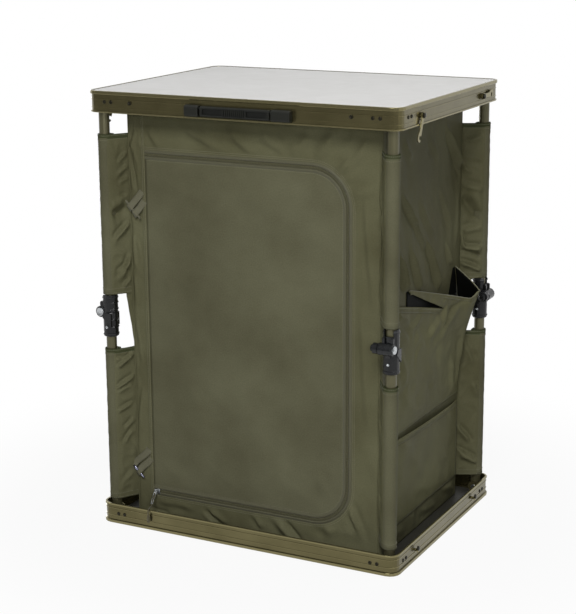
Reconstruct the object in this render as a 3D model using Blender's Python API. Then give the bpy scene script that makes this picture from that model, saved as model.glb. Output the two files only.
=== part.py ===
import math

import bmesh
import bpy
from mathutils import Matrix, Vector

# Folding camp storage unit: two shallow trays, four legs that fold at the knee, and a fabric cabinet
# between the trays. Sizes below are in millimetres. The origin is at the middle of the base's underside,
# -Y is the front and +Z is up.

MM = 0.001
GAP = 0.3                     # clearance between pieces that touch
WELD = 5e-6                   # metres; corners this close after a cut are one

# Overall
WIDTH = 600.0
DEPTH = 460.0
HEIGHT = 805.0
FOLD_GAP = 3.4                # space left between the two rims when folded

# Extruded rim of both trays
RIM_HEIGHT = 38.0
CORNER_RADIUS = 20.0
CORNER_STEPS = 4
RIM_WALL = 1.6
LIP_PROUD = 2.5               # the panel-side lip stands out from the wall
LIP_HEIGHT = 6.0
BEAD_PROUD = 1.8              # bead along the open edge
BEAD_HEIGHT = 3.6
RIDGE_PROUD = 0.8             # two raised lines along the wall
RIDGE_WIDTH = 2.0
UPPER_RIDGE = 23.2            # ridge centres above the open edge
LOWER_RIDGE = 9.2
LEDGE_DEPTH = 7.9             # inward flange under the panel
LEDGE_THICKNESS = 1.5
PANEL_SEAT = 32.0             # ledge top above the open edge
LID_PANEL_RECESS = 0.8        # table surface below the lip

# Legs
TUBE_RADIUS = 9.5
TUBE_WALL = 1.5
TUBE_SIDES = 16
LEG_INSET = 22.0              # tube axis from the outer planes
PIVOT_HEIGHT = 19.0           # leg pivots from the outer face of each tray
TUBE_OVERHANG = 6.5           # tube past its end pivot
KNEE_OFFSET = 15.0            # knee pivot outside the tube axis
BARREL_RADIUS = 10.5
BARREL_NECK_RADIUS = 9.5
BARREL_SIDES = 16
COLLAR_SIDES = 16
COLLAR_RADIUS = 13.8
RIB_PROUD = 1.0
FLANGE_PLACE = 4.5            # flange centre from each moulding's far end
SOCKET_LENGTH = 45.0
YOKE_LENGTH = 32.0
FORK_START = 21.0             # above here the yoke is a fork, open on its outer side
FORK_HALF = 8.5               # half width of that opening
LUG_REACH = 0.9               # shoulders of both mouldings past the pivot
SHOULDER_BACK = 0.8           # yoke's shoulders stand back from the ends of its barrel parts
SHOULDER_DROP = 1.2           # and below the fork's opening
GUSSET_LENGTH = 18.0          # web from the knuckle down the socket
GUSSET_HALF = 4.2
CHEEK_HALF = 9.0              # flat on each side of the socket
CHEEK_PROUD = 0.7
CHEEK_SHORT = 10.0            # its slanting lower edge, at the outer and the inner side
CHEEK_LONG = 26.0
SCALLOP_PROUD = 2.6           # finger ribs on the inner side
SCALLOP_SMALLER = 1.0         # their radius under the collar's
SCALLOP_HALF = 3.6
SOCKET_SCALLOPS = (13.5, 27.5)
YOKE_SCALLOPS = (5.5, 17.5)
TUBE_KNEE_END = 12.5          # tubes stop this far from the knee's split
KNUCKLE_HALF = 4.7            # half width of the socket's knuckle
KNUCKLE_TRIM = 1.0            # barrels are made longer by this and cut back to width
YOKE_CAP_END = 11.0           # yoke's end on the cap side of the barrel
YOKE_NECK_START = 15.0        # barrel narrows from here to the button
YOKE_BUTTON_END = 26.0
GROOVE_WIDTH = 2.0            # groove between barrel and neck
GROOVE_DEPTH = 1.2
PIN_RADIUS = 3.0
PIN_CLEARANCE = 0.2
PIN_SIDES = 12
LEG_PIN_SIDES = 10
PIN_FLOOR = 3.0               # wall left between the knee pin's bore and the button's well
CAP_RADIUS = 7.5
CAP_THICKNESS = 2.7
BUTTON_RADIUS = 6.0
BUTTON_SIDES = 12
BUTTON_PROUD = 4.0
BUTTON_TRAVEL = 4.0
BUTTON_LENGTH = 10.5

# Leg brackets in the tray corners
BRACKET_THICKNESS = 1.5
BRACKET_HALF_HEIGHT = 10.0
BRACKET_REACH = 56.0          # along each wall from the corner
EAR_GAP = 0.8                 # between tube and inner ear
EAR_THICKNESS = 1.2
EAR_LENGTH = 12.0
BOSS_RADIUS = 6.0             # boss between the outer sheet and the tube
PIN_HEAD_RADIUS = 5.0
PIN_HEAD_THICKNESS = 2.0

# Bolts that carry the latches and the studs that they hook on
BOLT_PLACE = 90.0             # from the corner along each side wall
BOLT_RADIUS = 2.5
BOLT_HEAD_RADIUS = 4.5
BOLT_HEAD_HEIGHT = 2.5
BOLT_SIDES = 10

# Latches
LATCH_HEIGHT = 16.0           # pivot above the lid's open edge
LATCH_THICKNESS = 2.0
LATCH_WASHER_RADIUS = 5.0
LATCH_BOSS_RADIUS = 6.0
LATCH_SHANK = 8.0
LATCH_FOOT = 4.6
LATCH_NOTCH_CLEARANCE = 0.6
FRONT_LATCH_TILT = 23.0       # front arms lean forward at rest
REAR_LATCH_TILT = 90.0        # rear arms lie level at rest

# Carrying handle on the front rim
HANDLE_HEIGHT = 20.0
HANDLE_CENTRE = 14.0          # above the lid's open edge
HANDLE_BACK = 1.4             # inset of the blocks' back face from the outer plane
HANDLE_PROUD = 11.0
GRIP_LENGTH = 132.5
GRIP_CENTRE = 1.2
GRIP_END_GAP = 3.4
LEFT_BLOCK = 26.5
RIGHT_BLOCK = 35.0
GRIP_HEIGHT = 18.0
GRIP_PROUD = 10.0
GRIP_BACK = 1.0
GRIP_RECESS = 1.6
GRIP_RIBS = 11
GRIP_RIB_PITCH = 3.8
GRIP_RECESS_BORDER = 4.0
GRIP_END_MARGIN = 6.0
GRIP_RIB_MARGIN = 3.0
GRIP_GROOVE_DEPTH = 1.2
GRIP_GROOVE_BORDER = 2.5
BLOCK_CHAMFER = 3.0
HINGE_PIN_RADIUS = 1.8
HINGE_PIN_BELOW_TOP = 4.0     # pin axis below the grip's top
HINGE_PIN_BACK = 6.0          # pin axis in front of the outer plane
HINGE_PIN_HOLD = 6.0          # pin length held in block and in grip

# Fabric cabinet
CLOTH = 1.6
CABINET_INSET_X = 52.0
CABINET_INSET_Y = 48.0
CABINET_CORNER = 6.0
FOLD_DEPTH = 4.0              # tension folds under the lid
FOLD_ZONE = 260.0             # height of the zone with folds
FOLD_PITCH = 122.0            # along the wall
FOLD_RISE = 170.0             # height over which a fold leans by one pitch
FOLD_ROWS = 5
SIDE_STEPS = 9
BACK_STEPS = 12
FLAP_INTO_CORNER = 2.5        # flaps end this far inside the cabinet's corner
SLEEVE_RADIUS = 11.8
SLEEVE_CLEARANCE = 0.3
SLEEVE_SIDES = 12
SLEEVE_HEM = 14.0
SLEEVE_HEM_PROUD = 0.5
SLEEVE_UNDER_LID = 40.0       # upper sleeves end this far under the lid's open edge
SLEEVE_OVER_KNEE = 33.5
SLEEVE_UNDER_KNEE = 68.5
SLEEVE_OVER_BASE = 6.0        # lower sleeves start this far over the base's open edge

# Door
DOOR_LEFT = 88.0
DOOR_RIGHT_INSET = 117.0      # from the right outer plane
DOOR_TOP_INSET = 117.0        # from the overall top
DOOR_BOTTOM = 62.0
DOOR_CORNER = 66.0
ZIP_WIDTH = 5.0
ZIP_PROUD = 1.0

# Zip slider and its pull
SLIDER_LENGTH = 12.0
SLIDER_WIDTH = 9.0
SLIDER_THICKNESS = 4.4
SLIDER_START = 2.0            # from the zip's end
BAIL_RADIUS = 2.6
BAIL_BORE = 1.5
BAIL_HALF = 1.5
CORD_RADIUS = 1.1
KNOT_RADIUS = 2.6
KNOT_LENGTH = 14.0

# Shelf and pockets
SHELF_BELOW_KNEE = 2.5
SHELF_THICKNESS = 6.0
SHELF_FRONT = 62.0            # front edge from the outer plane
POCKET_FRONT = 104.0
POCKET_BACK_INSET = 58.0      # from the back outer plane
POCKET_SPLIT = 214.0          # bottom of the deep pocket
POCKET_BOTTOM = 46.0
SLIP_BULGE = 6.0
LIP_OVER_KNEE = 61.5          # deep pocket's lip over knee height, where it leaves the wall
LIP_START = 0.22              # share of the pocket's run where the lip leaves the wall
LIP_SAG = 62.0                # how far the lip hangs down towards the back
LIP_BULGE = 30.0
POCKET_BULGE = 46.0           # how far the lip's back corner stands out
CORNER_LIFT = 18.0            # back corner over the lip's lowest point
BACK_DRAWN = 12.0             # how far the mouth draws the back corner forward
BACK_FULLNESS = 4.0
GUSSET_DRAWN = 25.5           # top of the back gusset on the wall, in front of its foot
GUSSET_SEAM = 3.5             # cloth of the gusset sewn flat behind the pocket's foot
HEM_OVER_KNEE = 47.5          # front part's hem over knee height, at its front end
HEM_FALL = 46.0
HEM_END = 0.65                # share of the run where the hem meets the lip's fold
POCKET_HANG = 2.2             # the swell grows with this power of the height
POCKET_ROWS = 8
POCKET_COLUMNS = 11
GUSSET_COLUMNS = 2
SLIP_ROWS = 4
SLIP_COLUMNS = 7

# Worked out from the sizes above
WALL_FACE = LIP_PROUD                       # inset of the rim wall's outer face
WALL_BACK = LIP_PROUD + RIM_WALL
BRACKET_FACE = WALL_BACK
BRACKET_BACK = BRACKET_FACE + BRACKET_THICKNESS
KNEE_HEIGHT = HEIGHT / 2
LEG_SPAN = KNEE_HEIGHT - PIVOT_HEIGHT       # tray pivot to knee height
LID_EDGE = HEIGHT - RIM_HEIGHT              # open edge of the lid
UPPER_SLEEVE = (KNEE_HEIGHT + SLEEVE_OVER_KNEE, LID_EDGE - SLEEVE_UNDER_LID)
LOWER_SLEEVE = (RIM_HEIGHT + SLEEVE_OVER_BASE, KNEE_HEIGHT - SLEEVE_UNDER_KNEE)
DOOR_RIGHT = WIDTH - DOOR_RIGHT_INSET
DOOR_TOP = HEIGHT - DOOR_TOP_INSET
SHELF_BOTTOM = KNEE_HEIGHT - SHELF_BELOW_KNEE
POCKET_BACK = DEPTH - POCKET_BACK_INSET
POCKET_WALL = WIDTH - CABINET_INSET_X + CLOTH + GAP
PANEL_UNDER = HEIGHT - RIM_HEIGHT + PANEL_SEAT + GAP
FLOOR_TOP = RIM_HEIGHT - PANEL_SEAT - GAP
EAR_FACE = TUBE_RADIUS + EAR_GAP
PIN_HOLE = PIN_RADIUS + PIN_CLEARANCE
LATCH_REACH = RIM_HEIGHT + FOLD_GAP + LATCH_HEIGHT - PIVOT_HEIGHT
ARM_FACE = -0.2                             # inset of the latch arms' inner face
GRIP_TOP = LID_EDGE + HANDLE_CENTRE + GRIP_HEIGHT / 2

# Legs in order: turn about Z of the leg's own frame (its +X points outwards, its +Y to the pin's cap)
LEGS = {
    "fl": (LEG_INSET, LEG_INSET, 180.0),
    "fr": (WIDTH - LEG_INSET, LEG_INSET, -90.0),
    "br": (WIDTH - LEG_INSET, DEPTH - LEG_INSET, 0.0),
    "bl": (LEG_INSET, DEPTH - LEG_INSET, 90.0),
}

# Finishes: colour as linear RGB, metallic, roughness
OLIVE_METAL = ((0.095, 0.086, 0.043), 0.35, 0.42)
DARK_OLIVE_METAL = ((0.035, 0.034, 0.018), 0.2, 0.5)
TABLE_TOP = ((0.62, 0.62, 0.60), 0.0, 0.4)
BLACK_PLASTIC = ((0.012, 0.012, 0.013), 0.0, 0.45)
STEEL = ((0.45, 0.45, 0.43), 1.0, 0.3)
OLIVE_CLOTH = ((0.047, 0.046, 0.025), 0.0, 0.8)
OLIVE_WEBBING = ((0.09, 0.09, 0.065), 0.0, 0.9)


def clear_scene():
    for obj in list(bpy.data.objects):
        bpy.data.objects.remove(obj, do_unlink=True)


def place(x, y, z):
    """A point measured from the front left corner of the outer planes, in metres from the origin."""
    return Vector(((x - WIDTH / 2) * MM, (y - DEPTH / 2) * MM, z * MM))


def finish_material(name, finish):
    colour, metallic, roughness = finish
    material = bpy.data.materials.new(name + "_finish")
    material.use_nodes = True
    shader = material.node_tree.nodes["Principled BSDF"]
    shader.inputs["Base Color"].default_value = (*colour, 1.0)
    shader.inputs["Metallic"].default_value = metallic
    shader.inputs["Roughness"].default_value = roughness
    return material


def add_object(name, mesh, finish, location=(0, 0, 0), turn=0.0, parent=None):
    obj = bpy.data.objects.new(name, mesh)
    obj.location = location
    obj.rotation_euler = (0.0, 0.0, math.radians(turn))
    obj.parent = parent
    bpy.context.scene.collection.objects.link(obj)
    if not mesh.materials:
        mesh.materials.append(None)
    obj.material_slots[0].link = "OBJECT"
    obj.material_slots[0].material = finish_material(name, finish)
    return obj


def mesh_from(bm, name, smooth_angle=35.0):
    """Close a bmesh built in millimetres into a mesh in metres, with round faces shaded smooth."""
    bmesh.ops.recalc_face_normals(bm, faces=bm.faces)
    bmesh.ops.scale(bm, vec=(MM, MM, MM), verts=bm.verts)
    mesh = bpy.data.meshes.new(name)
    bm.to_mesh(mesh)
    bm.free()
    mesh.shade_smooth()
    mesh.set_sharp_from_angle(angle=math.radians(smooth_angle))
    return mesh


def shifted(x, y, z):
    return Matrix.Translation((x, y, z))


# Shapes, all in millimetres

def add_slab(bm, outline, low, high, matrix=Matrix.Identity(4)):
    """Extrude a flat outline along Z from low to high."""
    bottom = [bm.verts.new((x, y, low)) for x, y in outline]
    face = bm.faces.new(bottom)
    grown = bmesh.ops.extrude_face_region(bm, geom=[face])
    top = [item for item in grown["geom"] if isinstance(item, bmesh.types.BMVert)]
    bmesh.ops.translate(bm, vec=(0, 0, high - low), verts=top)
    bmesh.ops.transform(bm, matrix=matrix, verts=bottom + top)


def add_lathe(bm, profile, sides, matrix=Matrix.Identity(4)):
    """Turn a closed (radius, height) profile about Z; a point at radius 0 makes a pole."""
    rings = []
    for radius, height in profile:
        if radius == 0:
            rings.append([bm.verts.new((0, 0, height))])
            continue
        ring = []
        for step in range(sides):
            angle = 2 * math.pi * step / sides
            ring.append(bm.verts.new((radius * math.cos(angle), radius * math.sin(angle), height)))
        rings.append(ring)
    closed = profile[0][0] != 0
    pairs = list(zip(rings, rings[1:] + rings[:1])) if closed else list(zip(rings, rings[1:]))
    for first, second in pairs:
        for step in range(sides):
            after = (step + 1) % sides
            if len(first) == 1:
                bm.faces.new((first[0], second[step], second[after]))
            elif len(second) == 1:
                bm.faces.new((first[step], second[0], first[after]))
            else:
                bm.faces.new((first[step], first[after], second[after], second[step]))
    verts = [vert for ring in rings for vert in ring]
    bmesh.ops.transform(bm, matrix=matrix, verts=verts)


def add_loft(bm, rings):
    """Skin through rings of as many points each, closed by a face at both ends."""
    loops = [[bm.verts.new(point) for point in ring] for ring in rings]
    count = len(loops[0])
    for first, second in zip(loops, loops[1:]):
        for step in range(count):
            after = (step + 1) % count
            bm.faces.new((first[step], first[after], second[after], second[step]))
    bm.faces.new(loops[0])
    bm.faces.new(loops[-1])


def add_side_slab(bm, outline, half, centre=0.0):
    """Extrude an outline drawn in X-Z along Y, by half its thickness to each side of the centre."""
    add_slab(bm, outline, -centre - half, half - centre, Matrix.Rotation(math.pi / 2, 4, "X"))


def solid_profile(points):
    """Close a turned profile onto its axis at both ends."""
    return [(0, points[0][1])] + points + [(0, points[-1][1])]


def hole_radius(radius, sides):
    """Corner radius of a faceted hole whose flats clear a round of the given radius."""
    return radius / math.cos(math.pi / sides)


def along_y(x=0.0, y=0.0, z=0.0):
    """Turn a lathe's axis from Z to +Y and move it."""
    return shifted(x, y, z) @ Matrix.Rotation(-math.pi / 2, 4, "X")


def along_x(x=0.0, y=0.0, z=0.0):
    return shifted(x, y, z) @ Matrix.Rotation(math.pi / 2, 4, "Y")


def arc(cx, cy, radius, start, end, steps):
    """Points on an arc, angles in degrees."""
    points = []
    for step in range(steps + 1):
        angle = math.radians(start + (end - start) * step / steps)
        points.append((cx + radius * math.cos(angle), cy + radius * math.sin(angle)))
    return points


def rounded_rectangle(x0, y0, x1, y1, radius, steps):
    return (
        arc(x1 - radius, y0 + radius, radius, -90, 0, steps)
        + arc(x1 - radius, y1 - radius, radius, 0, 90, steps)
        + arc(x0 + radius, y1 - radius, radius, 90, 180, steps)
        + arc(x0 + radius, y0 + radius, radius, 180, 270, steps)
    )


def tray_outline(inset, steps=CORNER_STEPS):
    """Rounded outline of a tray at an inset from the outer planes, about the tray's middle."""
    half_w = WIDTH / 2 - inset
    half_d = DEPTH / 2 - inset
    return rounded_rectangle(-half_w, -half_d, half_w, half_d, CORNER_RADIUS - inset, steps)


def baked(obj):
    """Turn an object's evaluated shape into a plain mesh and remove it with its cutters."""
    graph = bpy.context.evaluated_depsgraph_get()
    mesh = bpy.data.meshes.new_from_object(obj.evaluated_get(graph))
    bm = bmesh.new()
    bm.from_mesh(mesh)
    bmesh.ops.remove_doubles(bm, verts=bm.verts, dist=WELD)
    bmesh.ops.dissolve_degenerate(bm, edges=bm.edges, dist=WELD)
    bm.to_mesh(mesh)
    bm.free()
    tools = [modifier.object for modifier in obj.modifiers if modifier.type == "BOOLEAN"]
    for item in tools + [obj]:
        bpy.data.objects.remove(item, do_unlink=True)
    mesh.shade_smooth()
    mesh.set_sharp_from_angle(angle=math.radians(35))
    return mesh


def combine(obj, bm, operation, name):
    """Add or cut the bmesh's shape with a Boolean; the tool object stays out of the render."""
    tool = bpy.data.objects.new(name, mesh_from(bm, name))
    tool.hide_render = True
    tool.display_type = "WIRE"
    tool.parent = obj
    bpy.context.scene.collection.objects.link(tool)
    modifier = obj.modifiers.new(name, "BOOLEAN")
    modifier.operation = operation
    modifier.solver = "EXACT"
    modifier.object = tool


# Rims and panels

def rim_profile():
    """Section of the extrusion: (inset from the outer plane, height above the open edge)."""
    top = RIM_HEIGHT
    ridge_face = WALL_FACE - RIDGE_PROUD
    points = [(WALL_BACK, top), (1.0, top), (0.3, top - 0.4), (0.0, top - 1.2)]
    points += [(0.0, top - LIP_HEIGHT + 0.8), (0.6, top - LIP_HEIGHT), (WALL_FACE, top - LIP_HEIGHT - 0.6)]
    for centre in (UPPER_RIDGE, LOWER_RIDGE):
        half = RIDGE_WIDTH / 2
        points += [(WALL_FACE, centre + half), (ridge_face, centre + half * 0.5)]
        points += [(ridge_face, centre - half * 0.5), (WALL_FACE, centre - half)]
    bead_face = WALL_FACE - BEAD_PROUD
    points += [(WALL_FACE, BEAD_HEIGHT), (bead_face, BEAD_HEIGHT - 0.6)]
    points += [(bead_face, 0.7), (bead_face + 0.6, 0.0)]
    ledge_edge = WALL_BACK + LEDGE_DEPTH
    points += [(WALL_BACK, 0.0), (WALL_BACK, PANEL_SEAT - LEDGE_THICKNESS)]
    points += [(ledge_edge, PANEL_SEAT - LEDGE_THICKNESS), (ledge_edge, PANEL_SEAT), (WALL_BACK, PANEL_SEAT)]
    return points


def rim_mesh(name):
    """Sweep the section round the tray: a straight run and a quarter turn, four times."""
    bm = bmesh.new()
    loops = []
    for inset, height in rim_profile():
        loops.append([bm.verts.new((x, y, height)) for x, y in tray_outline(inset)])
    stations = len(loops[0])
    for first, second in zip(loops, loops[1:] + loops[:1]):
        for step in range(stations):
            after = (step + 1) % stations
            bm.faces.new((first[step], first[after], second[after], second[step]))
    return mesh_from(bm, name)


def side_frames(height):
    """Frames on the side walls at the bolt places, +Z outwards and the origin in the outer plane."""
    frames = []
    for side in (-1, 1):
        for end in (-1, 1):
            spot = (side * WIDTH / 2, end * (DEPTH / 2 - BOLT_PLACE), height)
            frames.append(shifted(*spot) @ Matrix.Rotation(side * math.pi / 2, 4, "Y"))
    return frames


def add_stud(bm, frame, washer):
    """Bolt on the side wall: a washer where it carries a latch, a shank past the arm and a round head."""
    seat = LATCH_THICKNESS - ARM_FACE + GAP
    root = -(WALL_FACE + RIM_WALL / 2)
    if washer:
        face = -ARM_FACE - GAP
        profile = [(0, root), (LATCH_WASHER_RADIUS, root), (LATCH_WASHER_RADIUS, face), (BOLT_RADIUS, face)]
    else:
        profile = [(0, root), (BOLT_RADIUS, root)]
    profile += [
        (BOLT_RADIUS, seat), (BOLT_HEAD_RADIUS, seat),
        (BOLT_HEAD_RADIUS * 0.8, seat + BOLT_HEAD_HEIGHT * 0.75), (0, seat + BOLT_HEAD_HEIGHT),
    ]
    add_lathe(bm, profile, BOLT_SIDES, frame)


def leg_frame(leg, height):
    """A leg's own frame at a height, about the tray's middle."""
    x, y, turn = LEGS[leg]
    spot = Matrix.Translation((x - WIDTH / 2, y - DEPTH / 2, height))
    return spot @ Matrix.Rotation(math.radians(turn), 4, "Z")


def bracket_outline():
    """Plan of the bent sheet that lies against both walls, in a leg's frame."""
    face = LEG_INSET - BRACKET_FACE + RIM_WALL / 2
    back = LEG_INSET - BRACKET_BACK
    centre = LEG_INSET - CORNER_RADIUS
    end = LEG_INSET - BRACKET_REACH
    outer = [(face, end)] + arc(centre, centre, face - centre, 0, 90, CORNER_STEPS) + [(end, face)]
    inner = [(end, back)] + arc(centre, centre, back - centre, 90, 0, CORNER_STEPS) + [(back, end)]
    return outer + inner


def ear_outline():
    """Side view of the inner ear: square where it meets the sheet, round about the leg pin."""
    root = LEG_INSET - BRACKET_FACE - BRACKET_THICKNESS / 2
    outline = [(root, -BRACKET_HALF_HEIGHT), (root, BRACKET_HALF_HEIGHT)]
    return outline + arc(BRACKET_HALF_HEIGHT - EAR_LENGTH, 0, BRACKET_HALF_HEIGHT, 90, 270, 4)


def make_rim(prefix, location, flip, pin_height, stud_height, washer, parent):
    """Rim with its corner brackets and side bolts. The base's rim is the lid's turned over."""
    name = prefix + "_rim"
    mesh = rim_mesh(name)
    if flip:
        mesh.transform(Matrix.Translation((0, 0, RIM_HEIGHT * MM)) @ Matrix.Rotation(math.pi, 4, "X"))
    rim = add_object(name, mesh, OLIVE_METAL, location, 0.0, parent)
    sheets = bmesh.new()
    ears = bmesh.new()
    holes = bmesh.new()
    bore = hole_radius(PIN_HOLE, LEG_PIN_SIDES)
    stand = Matrix.Rotation(math.pi / 2, 4, "X")
    boss_face = LEG_INSET - BRACKET_BACK + BRACKET_THICKNESS / 2
    for leg in LEGS:
        frame = leg_frame(leg, pin_height)
        add_slab(sheets, bracket_outline(), -BRACKET_HALF_HEIGHT, BRACKET_HALF_HEIGHT, frame)
        add_slab(ears, ear_outline(), EAR_FACE, EAR_FACE + EAR_THICKNESS, frame @ stand)
        boss = solid_profile([(BOSS_RADIUS, TUBE_RADIUS + GAP), (BOSS_RADIUS, boss_face)])
        add_lathe(ears, boss, LEG_PIN_SIDES, frame @ along_y())
        drill = solid_profile([(bore, -LEG_INSET), (bore, LEG_INSET - WALL_BACK)])
        add_lathe(holes, drill, LEG_PIN_SIDES, frame @ along_y())
    for side in side_frames(stud_height):
        add_stud(ears, side, washer)
    combine(rim, sheets, "UNION", prefix + "_bracket_sheets")
    combine(rim, ears, "UNION", prefix + "_ears_and_studs")
    combine(rim, holes, "DIFFERENCE", prefix + "_pin_holes")
    return rim


def make_leg_pins(prefix, height, parent):
    """Headed pins through ear, tube and boss; each one's origin is on its leg's pivot."""
    bm = bmesh.new()
    tip = LEG_INSET - WALL_BACK - GAP
    head = -(EAR_FACE + EAR_THICKNESS + GAP)
    pin = solid_profile([
        (PIN_HEAD_RADIUS * 0.8, head - PIN_HEAD_THICKNESS),
        (PIN_HEAD_RADIUS, head - PIN_HEAD_THICKNESS * 0.6),
        (PIN_HEAD_RADIUS, head),
        (PIN_RADIUS, head),
        (PIN_RADIUS, tip),
    ])
    add_lathe(bm, pin, LEG_PIN_SIDES, along_y())
    mesh = mesh_from(bm, prefix + "_leg_pin")
    for leg, (x, y, turn) in LEGS.items():
        add_object(prefix + "_pin_" + leg, mesh, STEEL, place(x, y, height), turn, parent)


def make_panel(name, low, high, finish, parent, location):
    """Panel that drops into the rim onto its ledge."""
    bm = bmesh.new()
    add_slab(bm, tray_outline(WALL_BACK + GAP), low, high)
    return add_object(name, mesh_from(bm, name), finish, location, 0.0, parent)


# Legs

def leg_tube_mesh(name, low, high, hole_height):
    """Round tube along Z with a cross hole for its tray pin, at its own axis."""
    bm = bmesh.new()
    inner = TUBE_RADIUS - TUBE_WALL
    add_lathe(bm, [(inner, low), (TUBE_RADIUS, low), (TUBE_RADIUS, high), (inner, high)], TUBE_SIDES)
    tube = bpy.data.objects.new(name, mesh_from(bm, name))
    bpy.context.scene.collection.objects.link(tube)
    cutter = bmesh.new()
    bore = hole_radius(PIN_HOLE, LEG_PIN_SIDES)
    reach = TUBE_RADIUS + 2
    drill = solid_profile([(bore, -reach), (bore, reach)])
    add_lathe(cutter, drill, LEG_PIN_SIDES, along_y(0, 0, hole_height))
    combine(tube, cutter, "DIFFERENCE", name + "_hole")
    return baked(tube)


def collar_profile(length, ribs):
    """Half section of a moulded collar from the knee's split outwards: (radius, distance)."""
    points = [(COLLAR_RADIUS - 0.6, GAP / 2), (COLLAR_RADIUS, 1.2)]
    for centre in ribs:
        points += [(COLLAR_RADIUS, centre - 2.0), (COLLAR_RADIUS + RIB_PROUD, centre - 1.2)]
        points += [(COLLAR_RADIUS + RIB_PROUD, centre + 1.2), (COLLAR_RADIUS, centre + 2.0)]
    points += [(COLLAR_RADIUS, length - 1.0), (COLLAR_RADIUS - 1.0, length)]
    return points


def pin_blind_end():
    """How far the knee pin's bore runs towards the button, short of the button's well."""
    return YOKE_BUTTON_END - BUTTON_LENGTH - PIN_FLOOR


def add_scallop(bm, height):
    """Finger rib on the inner side of a collar: crescents that swell and shrink again."""
    rings = []
    for rise, proud in ((-1.0, 0.2), (0.0, 1.0), (1.0, 0.2)):
        crescent = arc(-KNEE_OFFSET - SCALLOP_PROUD * proud, 0, COLLAR_RADIUS - SCALLOP_SMALLER, 110, 250, 4)
        rings.append([(x, y, height + SCALLOP_HALF * rise) for x, y in crescent])
    add_loft(bm, rings)


def knee_collar(name, length, direction, scallops):
    """Round collar of a knee moulding with its flange and finger ribs; direction is -1 for the socket."""
    body = bmesh.new()
    matrix = shifted(-KNEE_OFFSET, 0, 0)
    if direction < 0:
        matrix = matrix @ Matrix.Rotation(math.pi, 4, "X")
    add_lathe(body, solid_profile(collar_profile(length, (length - FLANGE_PLACE,))), COLLAR_SIDES, matrix)
    moulding = bpy.data.objects.new(name, mesh_from(body, name))
    bpy.context.scene.collection.objects.link(moulding)
    ribs = bmesh.new()
    for height in scallops:
        add_scallop(ribs, height * direction)
    combine(moulding, ribs, "UNION", name + "_finger_ribs")
    return moulding, matrix


def add_barrel(moulding, name, knuckles, cut_bands):
    """Barrel pieces about the pivot, and room beside them for the other moulding's."""
    barrel = bmesh.new()
    for profile in knuckles:
        add_lathe(barrel, solid_profile(profile), BARREL_SIDES, along_y())
    combine(moulding, barrel, "UNION", name + "_barrel")
    room = bmesh.new()
    radius = hole_radius(BARREL_RADIUS + GAP, BARREL_SIDES)
    half_step = Matrix.Rotation(math.pi / BARREL_SIDES, 4, "Z")
    for low, high in cut_bands:
        add_lathe(room, solid_profile([(radius, low), (radius, high)]), BARREL_SIDES, along_y() @ half_step)
    combine(moulding, room, "DIFFERENCE", name + "_room")


def cut_knee_bores(moulding, name, length, matrix):
    """Bore for the leg tube, and the pin's bore, which ends short of the button's well."""
    bores = bmesh.new()
    tube = hole_radius(TUBE_RADIUS + GAP, TUBE_SIDES)
    start = TUBE_KNEE_END - GAP
    add_lathe(bores, solid_profile([(tube, start), (tube, length + 5)]), TUBE_SIDES, matrix)
    combine(moulding, bores, "DIFFERENCE", name + "_tube_bore")
    pin_bore = bmesh.new()
    pin = hole_radius(PIN_HOLE, PIN_SIDES)
    drill = solid_profile([(pin, -pin_blind_end()), (pin, YOKE_CAP_END + 2)])
    add_lathe(pin_bore, drill, PIN_SIDES, along_y())
    combine(moulding, pin_bore, "DIFFERENCE", name + "_pin_bore")


def knee_socket_mesh():
    """Lower moulding: one knuckle, a web under it, and flat cheeks with a slanting lower edge."""
    name = "knee_socket"
    socket, matrix = knee_collar(name, SOCKET_LENGTH, -1, SOCKET_SCALLOPS)
    sides = bmesh.new()
    outer = CHEEK_HALF - KNEE_OFFSET
    inner = -CHEEK_HALF - KNEE_OFFSET
    cheek = [(outer, -1.5), (outer, -CHEEK_SHORT), (inner, -CHEEK_LONG), (inner, -1.5)]
    add_side_slab(sides, cheek, COLLAR_RADIUS + CHEEK_PROUD)
    combine(socket, sides, "UNION", name + "_cheeks")
    web = bmesh.new()
    foot = COLLAR_RADIUS - KNEE_OFFSET - 1.5
    gusset = [(-KNEE_OFFSET, -4.0), (LUG_REACH, -4.0), (LUG_REACH, -BARREL_RADIUS - 0.6)]
    gusset += [(foot, -GUSSET_LENGTH), (-KNEE_OFFSET, -GUSSET_LENGTH)]
    add_side_slab(web, gusset, GUSSET_HALF)
    combine(socket, web, "UNION", name + "_web")
    # The knuckle is made longer and cut back to width with the room beside it
    reach = KNUCKLE_HALF + KNUCKLE_TRIM
    side = COLLAR_RADIUS + CHEEK_PROUD + 2
    bands = [(-side, -KNUCKLE_HALF), (KNUCKLE_HALF, side)]
    add_barrel(socket, name, [[(BARREL_RADIUS, -reach), (BARREL_RADIUS, reach)]], bands)
    cut_knee_bores(socket, name, SOCKET_LENGTH, matrix)
    return baked(socket)


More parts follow.
